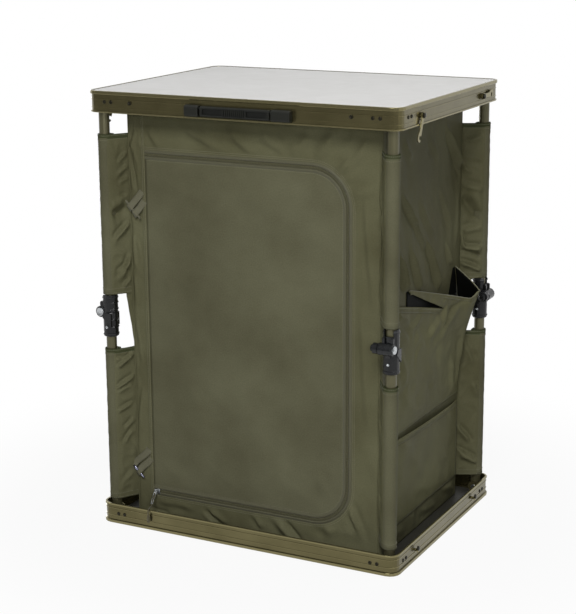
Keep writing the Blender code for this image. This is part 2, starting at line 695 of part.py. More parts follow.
def knee_yoke_mesh():
    """Upper moulding: a barrel in two parts with shoulders over them, and a fork that holds the tube."""
    name = "knee_yoke"
    ear = KNUCKLE_HALF + GAP
    neck = BARREL_NECK_RADIUS
    groove = neck - GROOVE_DEPTH
    yoke, matrix = knee_collar(name, YOKE_LENGTH, 1, YOKE_SCALLOPS)
    shoulders = bmesh.new()
    inner = ear + SHOULDER_BACK
    half = (YOKE_CAP_END - SHOULDER_BACK - inner) / 2
    top = FORK_START - SHOULDER_DROP
    outline = [(-KNEE_OFFSET, 5.0), (LUG_REACH, 5.0), (LUG_REACH, top - 2), (LUG_REACH - 2, top)]
    for side in (-1, 1):
        add_side_slab(shoulders, outline + [(-KNEE_OFFSET, top)], half, side * (inner + half))
    combine(yoke, shoulders, "UNION", name + "_shoulders")
    ring = -YOKE_NECK_START - GROOVE_WIDTH
    long_barrel = [
        (neck - 0.8, -YOKE_BUTTON_END), (neck, -YOKE_BUTTON_END + 0.8), (neck, ring),
        (groove, ring + GROOVE_WIDTH / 2),
        (BARREL_RADIUS, -YOKE_NECK_START), (BARREL_RADIUS, KNUCKLE_TRIM - ear),
    ]
    short_barrel = [
        (BARREL_RADIUS, ear - KNUCKLE_TRIM), (BARREL_RADIUS, YOKE_CAP_END - 0.8),
        (BARREL_RADIUS - 0.8, YOKE_CAP_END),
    ]
    add_barrel(yoke, name, [long_barrel, short_barrel], [(-ear, ear)])
    cuts = bmesh.new()
    button = hole_radius(BUTTON_RADIUS + GAP, BUTTON_SIDES)
    well = solid_profile([(button, -YOKE_BUTTON_END - 2), (button, BUTTON_LENGTH - YOKE_BUTTON_END)])
    add_lathe(cuts, well, BUTTON_SIDES, along_y())
    mouth = [(-KNEE_OFFSET, FORK_START), (COLLAR_RADIUS, FORK_START)]
    mouth += [(COLLAR_RADIUS, YOKE_LENGTH + 5), (-KNEE_OFFSET, YOKE_LENGTH + 5)]
    add_side_slab(cuts, mouth, FORK_HALF)
    combine(yoke, cuts, "DIFFERENCE", name + "_well_and_fork")
    cut_knee_bores(yoke, name, YOKE_LENGTH, matrix)
    return baked(yoke)


def knee_pin_mesh():
    """Hinge pin with its round bright cap."""
    bm = bmesh.new()
    seat = YOKE_CAP_END + GAP
    profile = solid_profile([
        (PIN_RADIUS, GAP - pin_blind_end()),
        (PIN_RADIUS, seat),
        (CAP_RADIUS, seat),
        (CAP_RADIUS, seat + CAP_THICKNESS * 0.5),
        (CAP_RADIUS * 0.85, seat + CAP_THICKNESS),
        (CAP_RADIUS * 0.4, seat + CAP_THICKNESS * 0.8),
    ])
    add_lathe(bm, profile, PIN_SIDES, along_y())
    return mesh_from(bm, "knee_pin")


def knee_button_mesh():
    """Push button in the barrel's open end."""
    bm = bmesh.new()
    outer = -(YOKE_BUTTON_END + BUTTON_PROUD)
    inner = BUTTON_LENGTH - YOKE_BUTTON_END - BUTTON_TRAVEL - GAP
    profile = solid_profile([
        (BUTTON_RADIUS * 0.6, outer - 0.4),
        (BUTTON_RADIUS - 0.8, outer),
        (BUTTON_RADIUS, outer + 0.8),
        (BUTTON_RADIUS, inner),
    ])
    add_lathe(bm, profile, BUTTON_SIDES, along_y())
    return mesh_from(bm, "knee_button")


def sleeve_mesh(name, low, high):
    """Fabric sleeve round a tube, with a hem at each end."""
    bm = bmesh.new()
    inner = hole_radius(TUBE_RADIUS + SLEEVE_CLEARANCE, SLEEVE_SIDES)
    hem = SLEEVE_RADIUS + SLEEVE_HEM_PROUD
    profile = [
        (inner, low), (hem, low), (hem, low + SLEEVE_HEM), (SLEEVE_RADIUS, low + SLEEVE_HEM + 2),
        (SLEEVE_RADIUS, high - SLEEVE_HEM - 2), (hem, high - SLEEVE_HEM), (hem, high), (inner, high),
    ]
    add_lathe(bm, profile, SLEEVE_SIDES)
    return mesh_from(bm, name)


def make_legs():
    """Four legs. Each half hangs on an empty at its pivot, so it turns about its own joint."""
    socket = knee_socket_mesh()
    yoke = knee_yoke_mesh()
    lower_tube = leg_tube_mesh("lower_tube", -TUBE_OVERHANG, LEG_SPAN - TUBE_KNEE_END, 0.0)
    upper_tube = leg_tube_mesh("upper_tube", TUBE_KNEE_END, LEG_SPAN + TUBE_OVERHANG, LEG_SPAN)
    lower_sleeve = sleeve_mesh("lower_sleeve", LOWER_SLEEVE[0] - PIVOT_HEIGHT, LOWER_SLEEVE[1] - PIVOT_HEIGHT)
    upper_sleeve = sleeve_mesh("upper_sleeve", UPPER_SLEEVE[0] - KNEE_HEIGHT, UPPER_SLEEVE[1] - KNEE_HEIGHT)
    pin = knee_pin_mesh()
    button = knee_button_mesh()
    to_knee = (KNEE_OFFSET * MM, 0, LEG_SPAN * MM)
    to_tube = (-KNEE_OFFSET * MM, 0, 0)
    for leg, (x, y, turn) in LEGS.items():
        lower = bpy.data.objects.new(leg + "_lower_pivot", None)
        lower.location = place(x, y, PIVOT_HEIGHT)
        lower.rotation_euler = (0, 0, math.radians(turn))
        upper = bpy.data.objects.new(leg + "_knee_pivot", None)
        upper.location = to_knee
        upper.parent = lower
        for empty in (lower, upper):
            bpy.context.scene.collection.objects.link(empty)
        add_object(leg + "_lower_tube", lower_tube, OLIVE_METAL, (0, 0, 0), 0, lower)
        add_object(leg + "_lower_sleeve", lower_sleeve, OLIVE_CLOTH, (0, 0, 0), 0, lower)
        add_object(leg + "_knee_socket", socket, BLACK_PLASTIC, to_knee, 0, lower)
        add_object(leg + "_upper_tube", upper_tube, OLIVE_METAL, to_tube, 0, upper)
        add_object(leg + "_upper_sleeve", upper_sleeve, OLIVE_CLOTH, to_tube, 0, upper)
        add_object(leg + "_knee_yoke", yoke, BLACK_PLASTIC, (0, 0, 0), 0, upper)
        add_object(leg + "_knee_pin", pin, STEEL, (0, 0, 0), 0, upper)
        add_object(leg + "_knee_button", button, BLACK_PLASTIC, (0, 0, 0), 0, upper)


# Latches

def latch_mesh(name, tilt, mirror):
    """Flat hook arm about its pivot: boss, shank and a notch that takes the base stud.

    The outline is drawn hanging straight down in the X-Y plane and then stood up in the Y-Z plane.
    """
    half = LATCH_SHANK / 2
    notch = BOLT_RADIUS + LATCH_NOTCH_CLEARANCE
    top = -(LATCH_REACH - notch)
    bottom = -(LATCH_REACH + notch)
    foot = bottom - LATCH_FOOT
    outline = arc(0, 0, LATCH_BOSS_RADIUS, -40, 220, 9)
    outline += [(-half, -LATCH_BOSS_RADIUS - 6), (-half, top + 10), (-half - 4, top)]
    outline += [(-half - 4, foot + 3), (-half - 1, foot), (half - 2, foot), (half, foot + 2)]
    outline += [(half, bottom), (-half + 1.5, bottom), (-half + 0.8, -LATCH_REACH)]
    outline += [(-half + 1.5, top), (half, top), (half, -LATCH_BOSS_RADIUS - 6)]
    bm = bmesh.new()
    add_slab(bm, outline, 0, LATCH_THICKNESS)
    if mirror:
        bmesh.ops.scale(bm, vec=(-1, 1, 1), verts=bm.verts)
    stand = Matrix.Rotation(math.pi / 2, 4, "Z") @ Matrix.Rotation(math.pi / 2, 4, "X")
    lean = Matrix.Rotation(math.radians(tilt), 4, "X")
    bmesh.ops.transform(bm, matrix=lean @ stand, verts=bm.verts)
    arm = bpy.data.objects.new(name, mesh_from(bm, name))
    bpy.context.scene.collection.objects.link(arm)
    hole = bmesh.new()
    bore = hole_radius(BOLT_RADIUS + GAP, BOLT_SIDES)
    add_lathe(hole, solid_profile([(bore, -3), (bore, LATCH_THICKNESS + 3)]), BOLT_SIDES, along_x())
    combine(arm, hole, "DIFFERENCE", name + "_hole")
    return baked(arm)


def make_latches(lid):
    """Two arms on each side. The outline's notch opens to the back on the front arms and to the front on the
    rear ones."""
    height = LID_EDGE + LATCH_HEIGHT
    for row, y, tilt, mirror in (
        ("front", BOLT_PLACE, -FRONT_LATCH_TILT, False),
        ("rear", DEPTH - BOLT_PLACE, REAR_LATCH_TILT, True),
    ):
        mesh = latch_mesh("latch_" + row, tilt, mirror)
        for side, x in (("left", ARM_FACE - LATCH_THICKNESS), ("right", WIDTH - ARM_FACE)):
            add_object("latch_" + row + "_" + side, mesh, STEEL, place(x, y, height), 0, lid)


# Handle

def handle_pin_height():
    return GRIP_TOP - HINGE_PIN_BELOW_TOP


def grip_ends():
    middle = WIDTH / 2 + GRIP_CENTRE
    return middle - GRIP_LENGTH / 2, middle + GRIP_LENGTH / 2


def bevelled(obj, width, segments=1):
    modifier = obj.modifiers.new("edges", "BEVEL")
    modifier.width = width * MM
    modifier.segments = segments
    modifier.limit_method = "ANGLE"
    modifier.angle_limit = math.radians(40)


def make_handle(lid):
    left, right = grip_ends()
    middle = LID_EDGE + HANDLE_CENTRE
    pin_y = -HINGE_PIN_BACK
    pin_z = handle_pin_height()
    spans = {
        "left": (left - GRIP_END_GAP - LEFT_BLOCK, left - GRIP_END_GAP),
        "right": (right + GRIP_END_GAP, right + GRIP_END_GAP + RIGHT_BLOCK),
    }
    # Blocks: a rounded housing each, with the grip's hinge pin standing out of its inner end
    half = HANDLE_HEIGHT / 2
    cut = BLOCK_CHAMFER
    outline = [(HANDLE_BACK, -half), (HANDLE_BACK, half), (-HANDLE_PROUD + cut, half)]
    outline += [(-HANDLE_PROUD, half - cut), (-HANDLE_PROUD, cut - half), (cut - HANDLE_PROUD, -half)]
    frame = Matrix(((0, 0, 1, 0), (1, 0, 0, 0), (0, 1, 0, 0), (0, 0, 0, 1)))
    pin_spans = {
        "left": (spans["left"][1] - HINGE_PIN_HOLD, left + HINGE_PIN_HOLD),
        "right": (right - HINGE_PIN_HOLD, spans["right"][0] + HINGE_PIN_HOLD),
    }
    for side, (low, high) in spans.items():
        name = "handle_block_" + side
        bm = bmesh.new()
        add_slab(bm, outline, low, high, frame)
        block = add_object(name, mesh_from(bm, name), BLACK_PLASTIC, place(0, 0, middle), 0, lid)
        bevelled(block, 0.9)
        pin = bmesh.new()
        reach = solid_profile([(HINGE_PIN_RADIUS, end) for end in pin_spans[side]])
        add_lathe(pin, reach, BOLT_SIDES, along_x(0, pin_y, pin_z - middle))
        combine(block, pin, "UNION", name + "_pin")
    bore = hole_radius(HINGE_PIN_RADIUS + PIN_CLEARANCE, BOLT_SIDES)

    # Grip: its origin is on the hinge axis
    grip_bm = bmesh.new()
    top = GRIP_TOP - pin_z
    bottom = top - GRIP_HEIGHT
    back = GRIP_BACK + HINGE_PIN_BACK
    front = -GRIP_PROUD + HINGE_PIN_BACK
    outline = [(back, bottom), (back, top), (front + cut, top), (front, top - cut)]
    outline += [(front, bottom + cut), (front + cut, bottom)]
    frame = Matrix(((0, 0, 1, 0), (1, 0, 0, 0), (0, 1, 0, 0), (0, 0, 0, 1)))
    add_slab(grip_bm, outline, left, right, frame)
    grip_origin = place(0, pin_y, pin_z)
    grip = add_object("handle_grip", mesh_from(grip_bm, "handle_grip"), BLACK_PLASTIC, grip_origin, 0, lid)
    bevelled(grip, 0.9)

    cuts = bmesh.new()
    middle_x = WIDTH / 2 + GRIP_CENTRE
    rib_span = GRIP_RIBS * GRIP_RIB_PITCH
    face = shifted(0, front, 0) @ Matrix.Rotation(math.pi / 2, 4, "X") @ Matrix.Scale(-1, 4, (0, 0, 1))
    near = middle_x - rib_span / 2 - GRIP_RIB_MARGIN
    far = middle_x + rib_span / 2 + GRIP_RIB_MARGIN
    for low, high in ((left + GRIP_END_MARGIN, near), (far, right - GRIP_END_MARGIN)):
        recess = rounded_rectangle(low, bottom + GRIP_RECESS_BORDER, high, top - GRIP_RECESS_BORDER, 2.5, 2)
        add_slab(cuts, recess, -1, GRIP_RECESS, face)
    for rib in range(GRIP_RIBS):
        x = middle_x + (rib - (GRIP_RIBS - 1) / 2) * GRIP_RIB_PITCH
        foot = front + GRIP_GROOVE_DEPTH
        groove = [(x - 0.9, front - 1), (x + 0.9, front - 1), (x + 0.5, foot), (x - 0.5, foot)]
        add_slab(cuts, groove, bottom + GRIP_GROOVE_BORDER, top - GRIP_GROOVE_BORDER)
    grip_deep = HINGE_PIN_HOLD + GAP
    for low, high in ((left - 1, left + grip_deep), (right - grip_deep, right + 1)):
        add_lathe(cuts, solid_profile([(bore, low), (bore, high)]), BOLT_SIDES, along_x())
    combine(grip, cuts, "DIFFERENCE", "handle_grip_cuts")


# Cabinet, door and pockets

def cabinet_sides():
    return CABINET_INSET_X, CABINET_INSET_Y, WIDTH - CABINET_INSET_X, DEPTH - CABINET_INSET_Y


def fold_depth(along, height):
    """Outward swell of a wall: slanting tension folds that fade below the lid."""
    share = max(0.0, min(1.0, (height - (PANEL_UNDER - FOLD_ZONE)) / (FOLD_ZONE * 0.6)))
    fade = share * share * (3 - 2 * share)
    top = max(0.0, min(1.0, (PANEL_UNDER - height) / 40.0))
    return FOLD_DEPTH * fade * top * math.sin(2 * math.pi * (along / FOLD_PITCH + height / FOLD_RISE))


def add_cloth_sheet(bm, grid):
    """Close a grid of points into a sheet of cloth by adding its back face and edges."""
    rows = len(grid)
    columns = len(grid[0])
    front = [[bm.verts.new(point) for point in row] for row in grid]
    for row in range(rows - 1):
        for column in range(columns - 1):
            a, b = front[row][column], front[row][column + 1]
            c, d = front[row + 1][column + 1], front[row + 1][column]
            bm.faces.new((a, b, c, d))
    bm.normal_update()
    back = [[bm.verts.new(vert.co - vert.normal * CLOTH) for vert in row] for row in front]
    for row in range(rows - 1):
        for column in range(columns - 1):
            a, b = back[row][column], back[row][column + 1]
            c, d = back[row + 1][column + 1], back[row + 1][column]
            bm.faces.new((d, c, b, a))
    border = [(0, column) for column in range(columns)]
    border += [(row, columns - 1) for row in range(1, rows)]
    border += [(rows - 1, column) for column in range(columns - 2, -1, -1)]
    border += [(row, 0) for row in range(rows - 2, 0, -1)]
    for (r0, c0), (r1, c1) in zip(border, border[1:] + border[:1]):
        bm.faces.new((front[r1][c1], front[r0][c0], back[r0][c0], back[r1][c1]))


def door_outline(grow, seam_grow=0.0):
    """Door shape seen from the front: straight on its hinge side, round at its free corners."""
    x0, x1 = DOOR_LEFT - seam_grow, DOOR_RIGHT + grow
    z0, z1 = DOOR_BOTTOM - grow, DOOR_TOP + grow
    radius = DOOR_CORNER + grow
    return (
        [(x0, z0)] + arc(x1 - radius, z0 + radius, radius, -90, 0, 6)
        + arc(x1 - radius, z1 - radius, radius, 0, 90, 6) + [(x0, z1)]
    )


def front_slab(bm, outline, front, back):
    """Extrude an outline drawn in X-Z between two Y insets from the front plane."""
    turn = Matrix.Rotation(math.pi / 2, 4, "X")
    add_slab(bm, outline, -back, -front, turn)


def cabinet_rows():
    """Heights of the cabinet walls' rings, closer together under the lid where the folds are."""
    low = FLOOR_TOP + GAP
    high = PANEL_UNDER - GAP
    start = PANEL_UNDER - FOLD_ZONE
    upper = [start + (high - start) * step / FOLD_ROWS for step in range(FOLD_ROWS + 1)]
    return [low, SHELF_BOTTOM] + upper


def wall_point(x, y, height, out_x, out_y, along):
    swell = fold_depth(along, height)
    return (x + out_x * swell, y + out_y * swell)


def cabinet_ring(height):
    """Plan of the walls at one height: flat front, folds on the other three sides."""
    x0, y0, x1, y1 = cabinet_sides()
    c = CABINET_CORNER
    ring = []
    ring += arc(x0 + c, y0 + c, c, 180, 270, 2)
    ring += arc(x1 - c, y0 + c, c, 270, 360, 2)
    for step in range(1, SIDE_STEPS):
        y = y0 + c + (y1 - y0 - 2 * c) * step / SIDE_STEPS
        ring.append(wall_point(x1, y, height, 1, 0, y))
    ring += arc(x1 - c, y1 - c, c, 0, 90, 2)
    for step in range(1, BACK_STEPS):
        x = x1 - c - (x1 - x0 - 2 * c) * step / BACK_STEPS
        ring.append(wall_point(x, y1, height, 0, 1, x))
    ring += arc(x0 + c, y1 - c, c, 90, 180, 2)
    for step in range(1, SIDE_STEPS):
        y = y1 - c - (y1 - y0 - 2 * c) * step / SIDE_STEPS
        ring.append(wall_point(x0, y, height, -1, 0, y))
    return ring


def make_cabinet():
    """Fabric walls as one skin, with the door opening and the flaps that reach the leg sleeves."""
    bm = bmesh.new()
    loops = []
    for height in cabinet_rows():
        loops.append([bm.verts.new((x, y, height)) for x, y in cabinet_ring(height)])
    count = len(loops[0])
    for first, second in zip(loops, loops[1:]):
        for step in range(count):
            after = (step + 1) % count
            bm.faces.new((first[step], first[after], second[after], second[step]))
    origin = place(0, 0, 0)
    cabinet = add_object("cabinet_fabric", mesh_from(bm, "cabinet_fabric"), OLIVE_CLOTH, origin)
    cloth = cabinet.modifiers.new("cloth", "SOLIDIFY")
    cloth.thickness = CLOTH * MM
    cloth.offset = -1.0

    opening = bmesh.new()
    front_slab(opening, door_outline(ZIP_WIDTH + 2 * GAP, GAP), CABINET_INSET_Y - 10, CABINET_INSET_Y + 10)
    combine(cabinet, opening, "DIFFERENCE", "door_opening")

    flaps = bmesh.new()
    x0, y0, x1, y1 = cabinet_sides()
    start = SLEEVE_RADIUS + SLEEVE_HEM_PROUD + GAP
    for leg_x, leg_y, turn in LEGS.values():
        corner_x = x0 + FLAP_INTO_CORNER if leg_x < WIDTH / 2 else x1 - FLAP_INTO_CORNER
        corner_y = y0 + FLAP_INTO_CORNER if leg_y < DEPTH / 2 else y1 - FLAP_INTO_CORNER
        run = Vector((corner_x - leg_x, corner_y - leg_y, 0))
        length = run.length
        heading = math.atan2(run.y, run.x)
        frame = shifted(leg_x, leg_y, 0) @ Matrix.Rotation(heading, 4, "Z")
        outline = [(start, -CLOTH / 2), (length, -CLOTH / 2), (length, CLOTH / 2), (start, CLOTH / 2)]
        for low, high in (UPPER_SLEEVE, LOWER_SLEEVE):
            add_slab(flaps, outline, low, high, frame)
    combine(cabinet, flaps, "UNION", "leg_flaps")


def make_door(parent):
    """Door cloth, hinged along its left seam; the parent empty stands on that seam."""
    seam = place(DOOR_LEFT, CABINET_INSET_Y, 0)
    bm = bmesh.new()
    front_slab(bm, door_outline(0.0), CABINET_INSET_Y, CABINET_INSET_Y + CLOTH)
    bmesh.ops.translate(bm, vec=(-DOOR_LEFT, -CABINET_INSET_Y, 0), verts=bm.verts)
    hinge = bpy.data.objects.new("door_hinge", None)
    hinge.location = seam
    hinge.parent = parent
    bpy.context.scene.collection.objects.link(hinge)
    add_object("door_panel", mesh_from(bm, "door_panel"), OLIVE_CLOTH, (0, 0, 0), 0, hinge)


def make_zip():
    """C-shaped zip chain in the seam between door and wall."""
    bm = bmesh.new()
    outer = door_outline(ZIP_WIDTH + GAP)
    inner = door_outline(GAP)
    front_slab(bm, outer + inner[::-1], CABINET_INSET_Y - ZIP_PROUD, CABINET_INSET_Y + CLOTH)
    add_object("door_zip", mesh_from(bm, "door_zip"), OLIVE_WEBBING, place(0, 0, 0))


def slider_place():
    """Middle of the slider's face, at the zip's lower left end."""
    x = DOOR_LEFT + SLIDER_LENGTH / 2 + SLIDER_START
    z = DOOR_BOTTOM - GAP - ZIP_WIDTH / 2
    y = CABINET_INSET_Y - ZIP_PROUD - GAP
    return x, y, z


def make_slider():
    """Slider body on the zip with a bail, and the wire pull that hangs from it."""
    x, y, z = slider_place()
    bm = bmesh.new()
    half = SLIDER_LENGTH / 2
    wide = SLIDER_WIDTH / 2
    shield = [(-half, -wide * 0.6), (half * 0.3, -wide), (half, -wide)]
    shield += [(half, wide), (half * 0.3, wide), (-half, wide * 0.6)]
    front_slab(bm, shield, -SLIDER_THICKNESS * 0.5, 0)
    slider = add_object("zip_slider", mesh_from(bm, "zip_slider"), STEEL, place(x, y, z))
    bevelled(slider, 0.5)
    bail = bmesh.new()
    seat = GAP * 0.7 - SLIDER_THICKNESS * 0.5
    arch = arc(0, seat, BAIL_RADIUS, 180, 360, 6) + arc(0, seat, BAIL_BORE, 360, 180, 6)
    add_slab(bail, arch, -BAIL_HALF, BAIL_HALF)
    combine(slider, bail, "UNION", "slider_bail")


def tube_curve(name, points, radius, finish, resolution, parent=None, location=(0, 0, 0)):
    """Closed round tube along a smooth poly line, as a bevelled curve with filled caps."""
    curve = bpy.data.curves.new(name, "CURVE")
    curve.dimensions = "3D"
    curve.bevel_depth = radius * MM
    curve.bevel_resolution = resolution
    curve.use_fill_caps = True
    spline = curve.splines.new("POLY")
    spline.points.add(len(points) - 1)
    for target, point in zip(spline.points, points):
        target.co = (point[0] * MM, point[1] * MM, point[2] * MM, 1.0)
    obj = bpy.data.objects.new(name, curve)
    obj.location = location
    obj.parent = parent
    bpy.context.scene.collection.objects.link(obj)
    curve.materials.append(finish_material(name, finish))
    return obj


def smooth_route(points, per_span):
    """Points on a smooth curve through the given ones."""
    result = []
    padded = [points[0]] + list(points) + [points[-1]]
    for index in range(1, len(padded) - 2):
        p0, p1, p2, p3 = (Vector(padded[index + k]) for k in (-1, 0, 1, 2))
        for step in range(per_span):
            t = step / per_span
            a = p1 * 2
            b = (p2 - p0) * t
            c = (p0 * 2 - p1 * 5 + p2 * 4 - p3) * t * t
            d = (p1 * 3 - p0 - p2 * 3 + p3) * t * t * t
            result.append((a + b + c + d) / 2)
    result.append(Vector(points[-1]))
    return result


def make_pull_cord():
    """Cord from the slider's bail over the rim and down its face, ending in a moulded tip."""
    x, y, z = slider_place()
    rim_top = RIM_HEIGHT + CORD_RADIUS + GAP
    start_y = y - SLIDER_THICKNESS * 0.5 - BAIL_RADIUS - CORD_RADIUS - GAP
    route = [
        (x - 1, start_y, z), (x - 1, start_y - 3, z - 5), (x + 1, start_y - 12, z - 11),
        (x + 4, 18, rim_top + 1.2), (x + 6, 7, rim_top + 0.2), (x + 7.5, 1.0, rim_top - 0.1),
        (x + 8.5, -2.2, rim_top - 3.5), (x + 9.0, -2.4, RIM_HEIGHT - 9),
    ]
    points = smooth_route(route, 2)
    tube_curve("zip_pull_cord", points, CORD_RADIUS, OLIVE_WEBBING, 2, None, place(0, 0, 0))
    end_x, end_y, end_z = route[-1]
    tip = bmesh.new()
    top = end_z - GAP
    profile = solid_profile([
        (KNOT_RADIUS * 0.7, top - KNOT_LENGTH), (KNOT_RADIUS, top - KNOT_LENGTH * 0.75),
        (KNOT_RADIUS, top - KNOT_LENGTH * 0.35), (CORD_RADIUS * 1.2, top),
    ])
    add_lathe(tip, profile, BOLT_SIDES)
    add_object("zip_pull_tip", mesh_from(tip, "zip_pull_tip"), OLIVE_WEBBING, place(end_x, end_y, 0))


def make_shelf():
    """Stiff middle shelf that fills the cabinet behind the door."""
    x0, y0, x1, y1 = cabinet_sides()
    inset = CLOTH + GAP
    bm = bmesh.new()
    outline = rounded_rectangle(x0 + inset, SHELF_FRONT, x1 - inset, y1 - inset, CABINET_CORNER, 2)
    add_slab(bm, outline, 0, SHELF_THICKNESS)
    shelf = add_object("shelf", mesh_from(bm, "shelf"), OLIVE_CLOTH, place(0, 0, SHELF_BOTTOM))
    bevelled(shelf, 1.2)


def pocket_lip(run):
    """Height and swell of the deep pocket's lip, which leaves the wall and hangs down towards the back."""
    share = max(0.0, (run - LIP_START) / (1 - LIP_START))
    height = KNEE_HEIGHT + LIP_OVER_KNEE - LIP_SAG * share
    swell = LIP_BULGE * share ** 1.4
    if run == 1.0:
        return height + CORNER_LIFT, POCKET_BULGE
    return height, swell


def deep_pocket_point(run, rise):
    """Point on the pocket's face, from its sewn foot to its lip."""
    lip, bulge = pocket_lip(run)
    foot = POCKET_SPLIT + GAP
    back = BACK_FULLNESS * math.sin(math.pi * rise) - BACK_DRAWN * rise ** 6
    y = POCKET_FRONT + (POCKET_BACK + back * run ** 4 - POCKET_FRONT) * run
    fullness = 4.0 * math.sin(math.pi * rise) * math.sin(math.pi * run)
    return (POCKET_WALL + bulge * rise ** POCKET_HANG + fullness, y, foot + (lip - foot) * rise)


def gusset_point(share, rise):
    """Point on the gusset that closes the pocket's back, from its outer corner to the wall."""
    x, y, z = deep_pocket_point(1.0, rise)
    top = KNEE_HEIGHT + LIP_OVER_KNEE
    foot = POCKET_SPLIT + GAP
    wall_y = POCKET_BACK + GUSSET_SEAM - GUSSET_DRAWN * rise ** 3
    wall_z = foot + (top - foot) * rise
    slack = 5.0 * math.sin(math.pi * share) * rise ** 2
    return (x + (POCKET_WALL - x) * share, y + (wall_y - y) * share + slack, z + (wall_z - z) * share)


def make_deep_pocket():
    """Open pocket on the right wall: a face, a back gusset, and a fold that opens under the lip."""
    bm = bmesh.new()
    grid = []
    for row in range(POCKET_ROWS + 1):
        rise = row / POCKET_ROWS
        line = [deep_pocket_point(column / POCKET_COLUMNS, rise) for column in range(POCKET_COLUMNS + 1)]
        line += [gusset_point(column / GUSSET_COLUMNS, rise) for column in range(1, GUSSET_COLUMNS + 1)]
        grid.append(line)
    add_cloth_sheet(bm, grid)
    pocket = add_object("deep_pocket", mesh_from(bm, "deep_pocket"), OLIVE_CLOTH, place(0, 0, 0))
    length = POCKET_BACK - POCKET_FRONT
    top = KNEE_HEIGHT + LIP_OVER_KNEE
    tip = POCKET_FRONT + length * LIP_START + 2
    hem_end = POCKET_FRONT + length * HEM_END
    hem = KNEE_HEIGHT + HEM_OVER_KNEE
    outline = [(POCKET_FRONT - 10, top + 20), (tip, top + 20), (tip, top - 2), (hem_end, hem - HEM_FALL)]
    outline += [(POCKET_FRONT - 10, hem + HEM_FALL * 10 / (length * HEM_END))]
    fold = bmesh.new()
    turn = Matrix(((0, 0, 1, 0), (1, 0, 0, 0), (0, 1, 0, 0), (0, 0, 0, 1)))
    add_slab(fold, outline, POCKET_WALL - CLOTH - 10, POCKET_WALL + POCKET_BULGE, turn)
    combine(pocket, fold, "DIFFERENCE", "deep_pocket_fold")


def make_slip_pocket():
    """Flat pocket under the deep one, a little slack along its top edge."""
    bm = bmesh.new()
    grid = []
    for row in range(SLIP_ROWS + 1):
        rise = row / SLIP_ROWS
        line = []
        for column in range(SLIP_COLUMNS + 1):
            run = column / SLIP_COLUMNS
            y = POCKET_FRONT + (POCKET_BACK - POCKET_FRONT) * run
            swell = SLIP_BULGE * math.sin(math.pi * run) ** 0.6 * rise ** 2
            line.append((POCKET_WALL + swell, y, POCKET_BOTTOM + (POCKET_SPLIT - POCKET_BOTTOM) * rise))
        grid.append(line)
    add_cloth_sheet(bm, grid)
    add_object("slip_pocket", mesh_from(bm, "slip_pocket"), OLIVE_CLOTH, place(0, 0, 0))


def main():
    clear_scene()
    lid = bpy.data.objects.new("lid_frame", None)
    bpy.context.scene.collection.objects.link(lid)
    middle = (0, 0, LID_EDGE * MM)
    make_rim("lid", middle, False, RIM_HEIGHT - PIVOT_HEIGHT, LATCH_HEIGHT, True, lid)
    make_rim("base", (0, 0, 0), True, PIVOT_HEIGHT, PIVOT_HEIGHT, False, None)
    make_panel("lid_panel", PANEL_SEAT + GAP, RIM_HEIGHT - LID_PANEL_RECESS, TABLE_TOP, lid, middle)
    make_panel("base_panel", 0.0, FLOOR_TOP, DARK_OLIVE_METAL, None, (0, 0, 0))
    make_leg_pins("lid", HEIGHT - PIVOT_HEIGHT, lid)
    make_leg_pins("base", PIVOT_HEIGHT, None)
    make_latches(lid)
    make_handle(lid)
    make_legs()
    make_cabinet()
    make_door(None)
    make_zip()
    make_slider()
    make_pull_cord()
    make_shelf()
    make_deep_pocket()
    make_slip_pocket()


main()
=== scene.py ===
import bmesh
import bpy
import math
from mathutils import Matrix, Vector, noise


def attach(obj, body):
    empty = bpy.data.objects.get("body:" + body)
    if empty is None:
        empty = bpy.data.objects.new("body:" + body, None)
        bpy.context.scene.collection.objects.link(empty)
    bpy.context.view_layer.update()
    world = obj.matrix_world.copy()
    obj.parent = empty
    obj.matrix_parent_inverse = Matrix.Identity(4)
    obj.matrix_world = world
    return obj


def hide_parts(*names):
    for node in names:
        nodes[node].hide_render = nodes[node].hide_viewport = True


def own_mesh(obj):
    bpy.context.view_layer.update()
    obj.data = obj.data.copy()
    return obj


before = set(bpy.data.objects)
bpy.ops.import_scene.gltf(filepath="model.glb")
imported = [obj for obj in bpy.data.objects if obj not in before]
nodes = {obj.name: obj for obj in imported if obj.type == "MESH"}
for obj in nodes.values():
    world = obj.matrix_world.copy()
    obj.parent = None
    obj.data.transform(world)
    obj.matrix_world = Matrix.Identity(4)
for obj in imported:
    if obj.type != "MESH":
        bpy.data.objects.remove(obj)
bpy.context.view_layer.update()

mm = 0.001
width, depth = 600, 460  # over both rims


def at(x, y, z):
    # millimetres from the front left floor corner, as metres in the frame
    return Vector(((x - width / 2) * mm, (y - depth / 2) * mm, z * mm))


# camera, at the photograph's angle
camera = {"azimuth": 27.28, "elevation": 14.38, "roll": -0.39, "distance": 2.96421, "lens": 94.57,
          "target": (0, -0.030, 0.400), "across": -0.00632, "upwards": 0.00011}
az, el, roll = (math.radians(camera[k]) for k in ("azimuth", "elevation", "roll"))
backward = Vector((math.sin(az) * math.cos(el), -math.cos(az) * math.cos(el), math.sin(el)))
levelRight = Vector((math.cos(az), math.sin(az), 0))
levelUp = backward.cross(levelRight)
right = levelRight * math.cos(roll) + levelUp * math.sin(roll)
up = backward.cross(right)
aim = Vector(camera["target"]) + levelRight * camera["across"] + levelUp * camera["upwards"]
lensData = bpy.data.cameras.new("camera")
lensData.lens = camera["lens"]
lensData.sensor_width = 36
cameraObject = bpy.data.objects.new("camera", lensData)
cameraObject.matrix_world = Matrix.Translation(aim + backward * camera["distance"]) @ Matrix(
    (right, up, backward)).transposed().to_4x4()
bpy.context.scene.collection.objects.link(cameraObject)
bpy.context.scene.camera = cameraObject
print("camera set")


